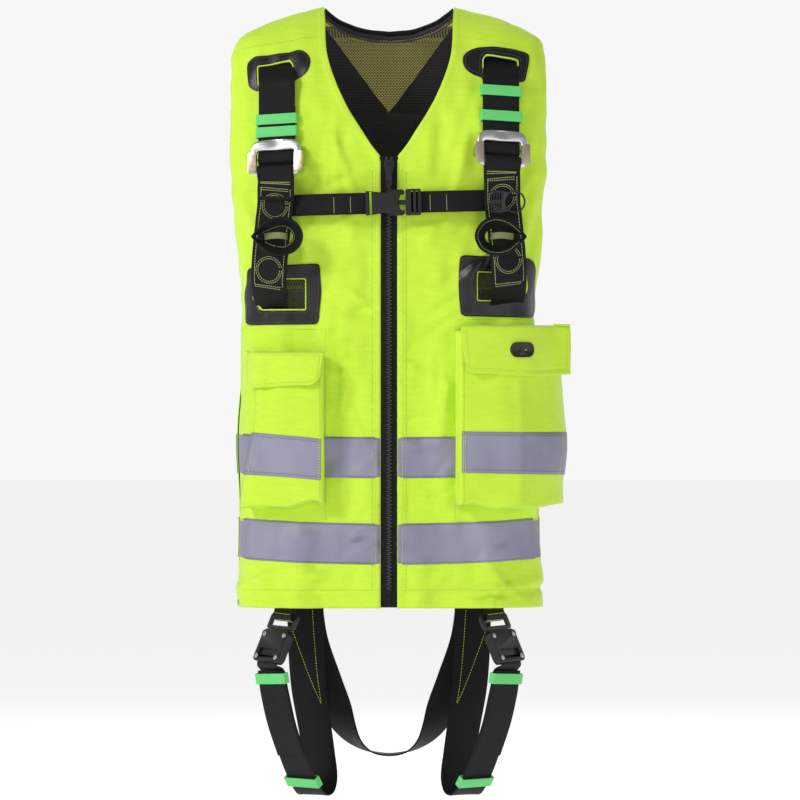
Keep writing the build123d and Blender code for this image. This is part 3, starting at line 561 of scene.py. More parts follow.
def shell_point(x, z, back=False, out=0.0, fold=True):
    """Points on the vest's outer face at x and z, moved out along the surface's normal."""
    x, z = np.broadcast_arrays(np.asarray(x, float), np.asarray(z, float))
    values = torso_at(z)
    rates = (torso_at(z + 1) - torso_at(z - 1)) / 2
    half = values[..., 0]
    depth = values[..., 2 if back else 1]
    ratio = np.clip(np.abs(x) / half, 0, 1)
    across = ratio ** ROUNDNESS
    y_ratio = (1 - across) ** (1 / ROUNDNESS)
    y = depth * y_ratio * (1 if back else -1)
    nx = np.sign(x) * ratio ** (ROUNDNESS - 1) / half
    ny = (1 if back else -1) * y_ratio ** (ROUNDNESS - 1) / depth
    nz = -(across * rates[..., 0] / half + (1 - across) * rates[..., 2 if back else 1] / depth)
    normal = np.stack([nx, ny, nz], axis=-1)
    normal /= np.linalg.norm(normal, axis=-1, keepdims=True)
    lift = out + (folds(x, z, back) if fold else 0.0)
    lift = np.broadcast_to(lift, x.shape)
    return np.stack([x, y, z], axis=-1) + normal * lift[..., None]


def row_x(z, start, end, count, back):
    """x of evenly spaced points along one section, from x = start to the y = -end or +end line."""
    half, front, rear = torso_at(z)
    depth = rear if back else front
    limit = half * (1 - min(end / depth, 0.999) ** ROUNDNESS) ** (1 / ROUNDNESS)
    s = np.linspace(0, 1, 260) ** 0.5
    xs = start + (limit - start) * s
    ys = depth * np.clip(1 - (xs / half) ** ROUNDNESS, 0, 1) ** (1 / ROUNDNESS)
    run = np.concatenate([[0], np.cumsum(np.hypot(np.diff(xs), np.diff(ys)))])
    return np.interp(np.linspace(0, run[-1], count), run, xs)


def smooth_curve(points, count):
    """Catmull-Rom through the points, as an array of count points."""
    p = np.asarray(points, float)
    p = np.concatenate([2 * p[:1] - p[1:2], p, 2 * p[-1:] - p[-2:-1]])
    t = np.linspace(0, len(p) - 3 - 1e-9, count)
    i = t.astype(int)
    f = (t - i)[:, None]
    a, b, c, d = p[i], p[i + 1], p[i + 2], p[i + 3]
    return 0.5 * (2 * b + (c - a) * f + (2 * a - 5 * b + 4 * c - d) * f**2 + (3 * b - a - 3 * c + d) * f**3)


NECK = smooth_curve(((10, -186), (20, -174), (35, -151), (52, -123), (66, -92), (75, -63), (77.5, -40),
                     (78, -22), (79, -10), (80, 0)), 80)
SCOOP = smooth_curve(((0, -28), (28, -25.5), (55, -17), (70, -8), (80, 0)), 40)


def neck_x(z):
    return np.interp(z, NECK[:, 1], NECK[:, 0], left=10.0)


def scoop_x(z):
    return np.interp(z, SCOOP[:, 1], SCOOP[:, 0], left=0.0)


def arm_y(z):
    share = 1 - ((z + 197) / 150) ** 2
    return 58 * math.sqrt(share) if share > 0 else 0.0


SHELL_ROWS = np.concatenate([np.arange(HEM_Z, -60, 3.6), np.arange(-60, 0.5, 1.5)])


def half_grid(sign, back, out=0.0, rows=SHELL_ROWS, columns=72, fold=True):
    """Grid of one half of the vest's front or back, from the middle to the side."""
    lines = []
    for z in rows:
        start = scoop_x(z) if back else neck_x(z)
        xs = row_x(z, float(start), arm_y(z), columns, back)
        edge = np.minimum(xs - xs[0], xs[-1] - xs) if arm_y(z) or not back else xs[-1] - xs
        raised = 0.7 * (1 - ease((edge - 6) / 3)) if not back else 0.0
        hem = 0.8 * (1 - ease((z - HEM_Z - 20) / 3))
        lines.append(shell_point(xs * sign, z, back, out + raised + hem, fold))
    return np.array(lines)


def window_mask(grid, windows, grow=3.0):
    """Which cells of a grid lie inside any of the (x0, x1, z0, z1) windows."""
    middle = (grid[:-1, :-1] + grid[1:, 1:]) / 2
    x, z = np.abs(middle[..., 0]), middle[..., 2]
    mask = np.zeros(x.shape, bool)
    for x0, x1, z0, z1 in windows:
        mask |= (x > x0 - grow) & (x < x1 + grow) & (z > z0 - grow) & (z < z1 + grow)
    return mask


UPPER_WINDOW = {1: (116, 156, -88, -65), -1: (118, 159, -95, -73)}
LOWER_WINDOW = {1: (107, 164, -359, -328), -1: (102, 164, -370, -336)}
DORSAL_WINDOW = (0, 46, -174, -146)


def vest_shell():
    for sign, side in ((1, "left"), (-1, "right")):
        windows = (UPPER_WINDOW[sign], LOWER_WINDOW[sign])
        grid = half_grid(sign, False)
        obj = cloth_grid(f"vest_front_{side}", grid, "shell_fabric", "vest", 1.1,
                         window_mask(grid, windows), flip=sign < 0)
        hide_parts(f"front_panel_{side}")
    left, right = half_grid(1, True), half_grid(-1, True)
    whole = np.concatenate([right[:, ::-1], left[:, 1:]], axis=1)
    drop = window_mask(whole, (DORSAL_WINDOW,))
    for r in range(len(SHELL_ROWS) - 1):
        if scoop_x(SHELL_ROWS[r + 1]) > 0.5:
            drop[r, 71] = True
    obj = cloth_grid("vest_back", whole, "shell_fabric", "vest", 1.1, drop, flip=True)
    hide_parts("back_panel")


def lining():
    rows = np.concatenate([np.arange(-640, -60, 8.0), np.arange(-60, -8, 3.0)])
    for sign, side in ((1, "left"), (-1, "right")):
        grid = half_grid(sign, False, -14.0, rows, 30, False)
        half = cloth_grid(f"lining_front_{side}", grid, "black_mesh", "vest", 0.5, flip=sign < 0)
    left, right = (half_grid(sign, True, -16.2, rows, 30, False) for sign in (1, -1))
    whole = np.concatenate([right[:, ::-1], left[:, 1:]], axis=1)
    wrinkle = ripple(whole[..., 0], whole[..., 2], ((0.9, 60, 130, 0), (0.7, -41, 83, 1), (0.5, 23, 60, 2)))
    whole[..., 1] += wrinkle
    drop = np.zeros((len(rows) - 1, whole.shape[1] - 1), bool)
    for r in range(len(rows) - 1):
        drop[r, 29] = scoop_x(rows[r + 1]) > 0.5
    obj = cloth_grid("lining_back", whole, "black_mesh", "vest", 0.5, drop, flip=True)
    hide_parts("mesh_lining")


def backlight_glow_sheet():
    """Glowing sheet inside the back below the neck: painted light that stands in for daylight coming through
    the cloth.
    """
    rows = []
    for z in np.linspace(-137, -16, 40):
        xs = np.linspace(-84, 84, 60)
        low = np.minimum(z, np.interp(np.abs(xs), SCOOP[:, 0], SCOOP[:, 1]) - 4)
        rows.append(shell_point(xs, low, True, -1.6, True))
    # painted light: this sheet glows in place of daylight passing through the back
    glow_sheet = cloth_grid("back_glow_sheet", np.array(rows), "backlight_glow_fabric", "vest", 0.6, flip=True)


def neck_trim():
    """Facing that closes the gap between the lining and the shell, and the binding over the edge."""
    xs = np.linspace(-78, 78, 90)
    zs = np.interp(np.abs(xs), SCOOP[:, 0], SCOOP[:, 1])
    rows = []
    for out, drop in ((1.6, -8), (1.9, -3), (1.2, 0.8), (-1.2, 1.4), (-3.0, -0.6), (-3.2, -8)):
        rows.append(shell_point(xs, np.minimum(zs + drop, -0.2), True, out))
    obj = cloth_grid("neck_binding_tape", np.array(rows), "black_webbing", "vest", 0.7, flip=True)
    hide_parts("neck_binding")
    rows = []
    for s in np.linspace(0, 1, 8):
        rows.append(shell_point(xs, np.minimum(zs - 2 - 5 * math.sin(math.pi * s), -1), True,
                                -3 - 11.5 * s, False))
    cloth_grid("neck_facing", np.array(rows), "black_mesh", "vest", 0.5, flip=True)


# ---- stitching ----------------------------------------------------------------------------------
class Thread:
    """Collects stitches by colour and body."""

    def __init__(self):
        self.runs = {}

    def dashes(self, path, normals, material, body, pitch=3.4, length=2.5, radius=0.34):
        path, normals = np.asarray(path, float), np.asarray(normals, float)
        run = np.concatenate([[0], np.cumsum(np.linalg.norm(np.diff(path, axis=0), axis=1))])
        count = int(run[-1] / pitch)
        parts = self.runs.setdefault((material, body), [])
        for i in range(count):
            at = np.array([0, 0.5, 1]) * length + i * pitch
            points = np.stack([np.interp(at, run, path[:, k]) for k in range(3)], axis=1)
            normal = np.array([np.interp(at[1], run, normals[:, k]) for k in range(3)])
            along = points[2] - points[0]
            side = np.cross(along, normal)
            size = np.linalg.norm(side)
            if size < 1e-6:
                continue
            side *= radius / size
            rise = normal / np.linalg.norm(normal) * radius
            ring = []
            for k, (point, lift) in enumerate(zip(points, (-0.8, 1.0, -0.8))):
                middle = point + rise * lift
                ring += [middle + side, middle + rise, middle - side, middle - rise]
            faces = [(0, 1, 2, 3), (11, 10, 9, 8)]
            for start in (0, 4):
                for k in range(4):
                    faces.append((start + k, start + 4 + k, start + 4 + (k + 1) % 4, start + (k + 1) % 4))
            parts.append((ring, faces))

    def finish(self):
        for (material, body), parts in self.runs.items():
            join_meshes(f"stitching_{material}_{body}", parts, body, material)


THREAD = Thread()


def shell_path(points, back=False, out=0.3, step=1.5):
    """A path of (x, z) corners laid on the shell, with its normals."""
    p = np.asarray(points, float)
    lengths = np.linalg.norm(np.diff(p, axis=0), axis=1)
    run = np.concatenate([[0], np.cumsum(lengths)])
    at = np.arange(0, run[-1], step)
    x, z = np.interp(at, run, p[:, 0]), np.interp(at, run, p[:, 1])
    low, high = shell_point(x, z, back, out), shell_point(x, z, back, out + 1)
    return low, high - low


def sew(points, material="yellow_thread", back=False, out=0.3, body="vest", **style):
    path, normals = shell_path(points, back, out)
    THREAD.dashes(path, normals, material, body, **style)


def rectangle(x0, x1, z0, z1):
    return [(x0, z0), (x1, z0), (x1, z1), (x0, z1), (x0, z0)]


PLACKET_SEAMS = (16.8, 20.6)      # the two rows beside the zip


def vest_stitching():
    for sign in (1, -1):
        for x in PLACKET_SEAMS:
            sew([(sign * x, -731), (sign * x, -188 - 0.6 * x)], out=0.5)
        inner = [(sign * (x + 5), z) for x, z in NECK[6:74]]
        sew(inner, out=0.6)
        sew([(sign * 11, -713), (sign * 100, -713), (sign * 180, -713)], out=0.6)
        x0, x1, z0, z1 = POCKET_PANEL[sign]
        sew([(sign * x1, z1), (sign * x0, z1), (sign * x0, z0), (sign * x1, z0)], out=0.5)
        sew([(sign * 80, -36.5), (sign * 184, -53)], out=0.5)
    sew([(-180, -713), (0, -713), (180, -713)], back=True, out=0.6)


# ---- bands, patches -----------------------------------------------------------------------------
def band(name, z_top, sag, node):
    """Reflective tape: two fronts and the back, with its stitching."""
    rows = np.linspace(0, 1, 15)
    for label, sign, back in (("front_left", 1, False), ("front_right", -1, False), ("back", 1, True)):
        lines = []
        for s in rows:
            z = z_top - 50 * (1 - s)
            edge = 0.6 if 0 < s < 1 else 0.15
            if back:
                half = row_x(z, 0.0, 0.0, 60, True)
                xs = np.concatenate([-half[::-1], half[1:]])
            else:
                xs = row_x(z, 10.6, 0.0, 60, False) * sign
            drop = sag * (1 - (np.abs(xs) / 190) ** 2)
            xs = xs * torso_at(z - drop)[:, 0] / torso_at(z)[0]
            lines.append(shell_point(xs, z - drop, back, edge + 0.35))
        tape = cloth_grid(f"{name}_{label}", np.array(lines), "reflective_tape", "vest", 0.4,
                          flip=sign < 0 or back)
        reach = 186 if back else 183
        for z in (z_top - 1.8, z_top - 48.2):
            start = -reach if back else 12
            xs = np.linspace(start, reach, 60) * sign
            drop = sag * (1 - (np.abs(xs) / 190) ** 2)
            sew(list(zip(xs, z - drop)), "grey_thread", back, 1.1, pitch=3.0, length=1.9, radius=0.2)
        if not back:
            sew([(sign * PLACKET_SEAMS[0], z_top - 49 - sag),
                 (sign * PLACKET_SEAMS[0], z_top - 1 - sag)], out=1.1)
    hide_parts(node)


def ring_patch(name, outer, inner, material, body, back=False, rings=7, count=150, base=0.5, height=1.3):
    """A moulded surround between two closed (x, z) outlines, with rounded edges."""
    def sample(points):
        closed = np.asarray(list(points) + [points[0]], float)
        run = np.concatenate([[0], np.cumsum(np.linalg.norm(np.diff(closed, axis=0), axis=1))])
        at = np.linspace(0, run[-1], count, endpoint=False)
        return np.stack([np.interp(at, run, closed[:, k]) for k in (0, 1)], axis=1)

    far, near = sample(outer), sample(inner)
    best = min(range(count), key=lambda k: np.linalg.norm(np.roll(near, k, axis=0) - far, axis=1).sum())
    near = np.roll(near, best, axis=0)
    profile = [(0.0, -0.6), (0.0, height * 0.6), (0.03, height)]
    profile += [(s, height) for s in np.linspace(0.1, 0.9, rings)]
    profile += [(0.97, height), (1.0, height * 0.6), (1.0, -1.2)]
    loops = []
    for s, out in profile:
        p = far * (1 - s) + near * s
        loops.append(shell_point(p[:, 0], p[:, 1], back, base + out))
    grid = np.array(loops)
    grid = np.concatenate([grid, grid[:, :1]], axis=1)
    rows, columns = grid.shape[:2]
    faces = [(r * columns + c, r * columns + c + 1, (r + 1) * columns + c + 1, (r + 1) * columns + c)
             for r in range(rows - 1) for c in range(columns - 1)]
    obj = make_object(name, grid.reshape(-1, 3), faces, material, body, grid.reshape(-1, 3)[:, [0, 2]])
    work = bmesh.new()
    work.from_mesh(obj.data)
    bmesh.ops.remove_doubles(work, verts=work.verts, dist=1e-6)
    bmesh.ops.recalc_face_normals(work, faces=work.faces)
    work.to_mesh(obj.data)
    work.free()
    return obj


def rounded(points, radius=6, steps=6):
    """Corners of a closed (x, z) outline rounded off."""
    p = np.asarray(points, float)
    made = []
    for i in range(len(p)):
        before, here, after = p[i - 1], p[i], p[(i + 1) % len(p)]
        r = min(radius, np.linalg.norm(before - here) / 2.2, np.linalg.norm(after - here) / 2.2)
        start = here + (before - here) / np.linalg.norm(before - here) * r
        end = here + (after - here) / np.linalg.norm(after - here) * r
        for t in np.linspace(0, 1, steps):
            made.append(tuple((1 - t) ** 2 * start + 2 * t * (1 - t) * here + t * t * end))
    return made


PATCHES = {
    # label, sign: outer outline, window, both as (|x|, z)
    ("upper", 1): (
        ((170.5, -69.5), (171, -60), (165, -56.5), (140, -52.5), (126, -51), (108, -51.5),
         (97.6, -54.3), (91, -61),
         (89.5, -68.4), (92, -76), (98, -82), (104, -85), (112, -88), (115, -92), (117, -94), (157, -94),
         (166, -94)),
        ((158, -66.8), (118, -59.8), (113.8, -66), (113.8, -85), (118, -90.5), (158.6, -90.5))),
    ("upper", -1): (
        ((174, -71), (165, -63), (143, -60), (122, -58), (110, -55.5), (102, -58), (97, -64),
         (95.5, -71), (98, -82),
         (106, -88), (114, -92), (117, -98), (118, -103), (156, -105),
         (162, -105.5), (171, -101), (173, -86)),
        ((160.5, -75), (121, -66.5), (116.5, -73), (116.5, -92), (120, -99), (160.5, -99))),
    ("lower", 1): (
        ((86, -306), (174, -309), (177, -322), (176, -345), (178, -366), (176, -382), (87, -380), (84, -343)),
        ((106, -325.5), (168, -327), (168, -346), (160, -362), (106, -362))),
    ("lower", -1): (
        ((84, -316), (172, -320), (174, -352), (171, -391), (86, -390), (82, -352)),
        ((101, -334), (166, -334), (166, -358), (157, -373), (101, -373))),
}
PATCH_CORNER = {"upper": 8, "lower": 6}


def patches():
    for (label, sign), (outer, inner) in PATCHES.items():
        side = "left" if sign > 0 else "right"
        far = [(sign * x, z) for x, z in rounded(outer, PATCH_CORNER[label])]
        near = [(sign * x, z) for x, z in rounded(inner, 2.5)]
        obj = ring_patch(f"{label}_window_surround_{side}", far, near, "black_pu", "vest")
        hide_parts(f"{label}_window_patch_{side}")
        ring_patch(f"{label}_window_piping_{side}", near, shrink(near, 1.3), "shell_fabric", "vest",
                   rings=2, height=0.7)
        hem = shrink(near, -3.0)
        sew(hem + hem[:1], "grey_thread", out=2.0, pitch=2.6, length=1.8)
        rim = shrink(far, 2.8)
        sew(rim + rim[:1], "grey_thread", out=2.0, pitch=2.8, length=1.9)
    wide, low, high = 46, -174, -146
    far = rounded(rectangle(-wide - 15, wide + 15, low - 15, high + 15)[:4], 12)
    near = rounded(rectangle(-wide, wide, low, high)[:4], 5)
    obj = ring_patch("dorsal_window_surround", far, near, "black_pu", "vest", back=True)
    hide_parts("dorsal_window_patch")
    sew(shrink(far, 3.0) + shrink(far, 3.0)[:1], "grey_thread", back=True, out=2.0, pitch=2.8, length=1.9)


def shrink(points, inset):
    """A closed outline moved inward."""
    p = np.asarray(points, float)
    middle = p.mean(axis=0)
    before, after = np.roll(p, 1, axis=0), np.roll(p, -1, axis=0)
    along = after - before
    normal = np.stack([-along[:, 1], along[:, 0]], axis=1)
    normal /= np.linalg.norm(normal, axis=1, keepdims=True) + 1e-9
    turn = np.sign(((middle - p) * normal).sum(axis=1).sum())
    return [tuple(q) for q in p + normal * turn * inset]


# ---- pockets ------------------------------------------------------------------------------------
POUCHES = {
    # side: sign, inner and outer edge on the shell, inner edge of the front, bottom, top, depth
    1: dict(side="left", x0=80, x1=186.4, front=85.5, z0=-611, z1=-398, depth=29,
            wave=2.2, flare=0, tape=-520, tilt=-2),
    -1: dict(side="right", x0=78, x1=149, front=80.5, z0=-609, z1=-430, depth=25,
             wave=3.6, flare=13, tape=-529, tilt=7.5),
}


def pouch_profile(p):
    """(x, share of the depth) stations from the inner seam round the front to the outer seam."""
    x0, x1, front = p["x0"], p["x1"], p["front"]
    gusset = [(x0, 0.0), (x0 + 1, 0.12), (x0 + 6, 0.30), (x0 + 7, 0.42), (x0 + 2.5, 0.55), (x0 + 2.0, 0.62),
              (front - 3.5, 0.82), (front - 0.9, 0.92)]
    face = [(front + (x1 - front) * s, 1.0 - 0.06 * (1 - math.sin(math.pi * s)))
            for s in np.linspace(0.0, 0.97, 48)]
    if x1 > 180:
        back = [(x1 - 0.5, 0.98), (x1, 0.8), (x1 - 0.5, 0.5), (x1, 0.2), (x1, 0.0)]
    else:
        back = [(x1 + 1.2, 0.95), (x1 + 1.0, 0.80), (x1 - 4, 0.6), (x1 - 6, 0.42),
                (x1 - 1, 0.2), (x1 + 2, 0.0)]
    return gusset + face + back


def pouch_x(x, z, p):
    """x of a pouch's stations at a height: out to the side seam, or flared at the bottom."""
    reach = np.clip((x - p["front"]) / (p["x1"] - p["front"]), 0, 1) ** 2
    if p["flare"]:
        return x + p["flare"] * reach * ease((p["z0"] + 110 - z) / 110)
    return x + (torso_at(z)[0] + 0.3 - p["x1"]) * reach


def pouch_sway(x, z, p):
    """Loose folds of a pocket's front."""
    t = (p["z1"] - z) / (p["z1"] - p["z0"])
    reach = x - p["x0"]
    fold = 1.9 * np.sin(reach / 12.5 + 0.8 + z / 150) + 1.1 * np.sin(reach / 7.2 + 2 + z / 60)
    pleat = 2.2 * np.exp(-((reach - 66) / 5.0) ** 2) * ease((p["z1"] - 12 - z) / 20)
    low = 2.4 * np.sin(reach / 8.0 + 1.0) * ease((p["z0"] + 34 - z) / 34)
    return (fold * (0.3 + 0.7 * t) + pleat + low + 0.8 * np.sin(z / 15 + x / 30)
            + 2.5 * t * np.sin(math.pi * t))


def pouch(sign):
    p = POUCHES[sign]
    profile = np.array(pouch_profile(p))
    xs, shares = profile[:, 0], profile[:, 1]
    rows = []
    heights = [(z, 1.0) for z in np.linspace(p["z1"], p["z0"] + 4, 64)]
    heights += [(p["z0"] + 1.4, 1.0), (p["z0"] + 0.2, 0.95), (p["z0"] + 1.5, 0.86),
                (p["z0"] + 5, 0.62), (p["z0"] + 3, 0.4), (p["z0"] - 1, 0.18), (p["z0"] - 2, 0.0)]
    for z, scale in heights:
        lift = shares * scale * p["depth"]
        loose = pouch_sway(xs, np.full_like(xs, z), p) * ease((shares - 0.6) / 0.4) * scale
        near_bottom = ease((p["z0"] + 40 - z) / 40)
        reach = xs - p["front"]
        wave = p["wave"] * (np.sin(reach / 17.0 + 1.2) + 0.6 * np.sin(reach / 7.0))
        corner = near_bottom * wave * ease((shares - 0.4) / 0.4)
        base = folds(xs * sign, z, False) * (1 - shares * scale)
        place = shell_point(pouch_x(xs, z, p) * sign, z + corner, False, lift + loose + base + 0.4, False)
        rows.append(place)
    grid = np.array(rows)
    obj = cloth_grid(f"pocket_pouch_{p['side']}", grid, "shell_fabric", "vest", 1.0, flip=sign > 0)
    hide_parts(f"pocket_{p['side']}")
    face = [(x, s) for x, s in zip(xs, shares) if x >= p["front"] and s >= 0.93]
    lines = []
    fx = np.array([x for x, _ in face])
    fs = np.array([s for _, s in face])
    for down in np.linspace(50, 0, 14):
        z = p["tape"] - down
        heights = z + p["tilt"] * (fx - fx[0]) / (fx[-1] - fx[0])
        sway = pouch_sway(fx, heights, p) * ease((fs - 0.6) / 0.4)
        lines.append(shell_point(pouch_x(fx, z, p) * sign, heights, False,
                                 fs * p["depth"] + sway + 1.1, False))
    tape = cloth_grid(f"reflective_over_pocket_{p['side']}", np.array(lines), "reflective_tape", "vest",
                      0.4, flip=sign < 0)
    for column in (2, -3):
        path = np.array(lines)[:, column]
        THREAD.dashes(path + [0, -0.6, 0], np.tile([0, -1.0, 0], (len(path), 1)), "yellow_thread", "vest")
    for row in (1, -2):
        path = np.array(lines)[row]
        THREAD.dashes(path + [0, -0.5, 0], np.tile([0, -1.0, 0], (len(path), 1)), "grey_thread", "vest",
                      3.0, 1.9, 0.2)
    edge = grid[:66, 9]
    normals = np.tile([0.0, -1.0, 0.0], (len(edge), 1))
    THREAD.dashes(edge + [0, -0.6, 0], normals, "yellow_thread", "vest")


FLAPS = {
    1: dict(side="left", x0=84, x1=198, z0=-452, z1=-392, hinge=-118.0, flare=(221, -66),
            depth=33.6, mid=-422, slant=5),
    -1: dict(side="right", x0=77, x1=168, z0=-466, z1=-424, hinge=-121.0, flare=(173, -86),
             depth=29.6, mid=-445, slant=6),
}
FLAP_SLOPE = 0.364
FLAP_COLUMNS = 84


def flap_plan(sign):
    """Plan curve of a flap's front, inner end first, and its inner end's corner."""
    f = FLAPS[sign]
    columns = np.linspace(f["x0"], f["x1"], 9)
    plan = [tuple(shell_point(x, f["mid"], False, f["depth"] - 1.0, False)[:2]) for x in columns]
    plan = [(x, y) for x, y in plan if x < f["flare"][0] - 6] + [f["flare"]]
    plan = smooth_curve(plan, 200)
    run = np.concatenate([[0], np.cumsum(np.linalg.norm(np.diff(plan, axis=0), axis=1))])
    even = np.linspace(0, run[-1], FLAP_COLUMNS)
    return np.stack([np.interp(even, run, plan[:, k]) for k in (0, 1)], axis=1), even


def flap(sign):
    f = FLAPS[sign]
    plan, run = flap_plan(sign)
    total = run[-1]
    rows = []
    hinge_y = f["hinge"] + FLAP_SLOPE * (plan[:, 0] - f["x0"])
    for s in np.linspace(0, 1, 7):
        y = hinge_y * (1 - s) + (plan[:, 1] + 4) * s
        rows.append(np.stack([plan[:, 0], y,
                              np.full(FLAP_COLUMNS, f["z1"] + 1.0 * math.sin(math.pi * s))], axis=1))
    for angle in np.linspace(20, 90, 5):
        a = math.radians(angle)
        rows.append(np.stack([plan[:, 0], plan[:, 1] + 4 - 4 * math.sin(a),
                              np.full(FLAP_COLUMNS, f["z1"] - 4 + 4 * math.cos(a))], axis=1))
    corner = 15.0
    inner = corner - np.sqrt(np.clip(corner**2 - np.clip(corner - run, 0, None) ** 2, 0, None))
    outer = corner - np.sqrt(np.clip(corner**2 - np.clip(corner - (total - run), 0, None) ** 2, 0, None))
    bottom = f["z0"] + inner + (outer if sign < 0 else 0) + 1.6 * np.sin(run / 23 + 0.6)
    normal = np.stack([np.gradient(plan[:, 1]), -np.gradient(plan[:, 0])], axis=1)
    normal /= np.linalg.norm(normal, axis=1, keepdims=True)
    for s in np.linspace(0.03, 1, 34):
        z = (f["z1"] - 4) * (1 - s) + bottom * s
        belly = 1.2 * math.sin(math.pi * s) + 0.9 * s * np.sin(run / 13 + 1) + 0.5 * np.sin(run / 21 + 4 * s)
        edge = 0.7 * ease((s - 0.90) / 0.05) - 0.5 * math.exp(-((s - 0.88) / 0.02) ** 2)
        out = (belly + edge + 0.4)[:, None]
        rows.append(np.concatenate([plan + normal * out, z[:, None]], axis=1))
    grid = np.array(rows)
    lean = np.clip((f["z1"] - 4 - grid[..., 2]) / (f["z1"] - 4 - f["z0"]), 0, 1)
    grid[..., 0] += f["slant"] * lean * np.clip(1 - run / 60, 0, 1)
    grid[..., 0] *= sign
    body = f"pocket_flap_{f['side']}"
    obj = cloth_grid(f"flap_cloth_{f['side']}", grid, "shell_fabric", body, 1.6, flip=sign > 0)
    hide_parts(body)
    low, side = -5, 3
    hem = [grid[r, side] for r in range(12, 41)] + [grid[low, c] for c in range(side, FLAP_COLUMNS - side)]
    hem += [grid[r, -side - 1] for r in range(40, 12, -1)]
    hem = smooth_curve(hem, 400)
    THREAD.dashes(hem + [0, -0.35, 0], np.tile([0, -1.0, 0], (400, 1)), "yellow_thread", body)
    return grid


def badge_plate(grid):
    """Blank moulded badge on the left flap: an oval with a raised rim."""
    face = grid[13:]
    middle_x, middle_z, straight, radius = 162.0, -421.0, 7.4, 9.2
    column = int(np.argmin(abs(face[10, :, 0] - middle_x)))
    centre = np.array([middle_x, face[10, column, 1], middle_z])
    along = face[10, column + 6] - face[10, column - 6]
    along[2] = 0
    along /= np.linalg.norm(along)
    outward = np.array([along[1], -along[0], 0])
    rings = []
    for share, lift in ((1.0, -1.2), (1.0, 1.0), (0.96, 1.5), (0.88, 1.5), (0.84, 1.0),
                        (0.6, 1.0), (0.35, 1.0), (0.15, 1.0)):
        loop = []
        for k in range(64):
            a = 2 * math.pi * k / 64
            u = ((math.copysign(straight, math.cos(a)) if abs(math.cos(a)) > 1e-6 else 0)
                 + radius * math.cos(a))
            bend = -0.010 * u * u
            loop.append(centre + along * u * share + outward * (1.6 + lift + bend)
                        + np.array([0, 0, radius * math.sin(a) * share]))
        rings.append(loop)
    count = len(rings[0])
    points = [p for loop in rings for p in loop] + [centre + outward * 2.6, centre + outward * 0.4]
    faces = [(r * count + k, r * count + (k + 1) % count,
              (r + 1) * count + (k + 1) % count, (r + 1) * count + k)
             for r in range(len(rings) - 1) for k in range(count)]
    last = (len(rings) - 1) * count
    middle, rear = len(points) - 2, len(points) - 1
    faces += [(last + k, last + (k + 1) % count, middle) for k in range(count)]
    faces += [((k + 1) % count, k, rear) for k in range(count)]
    obj = make_object("badge_plate", points, faces, "badge_plastic", "pocket_flap_left",
                      np.asarray(points)[:, [0, 2]])
    face_outward(obj)
    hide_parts("badge")


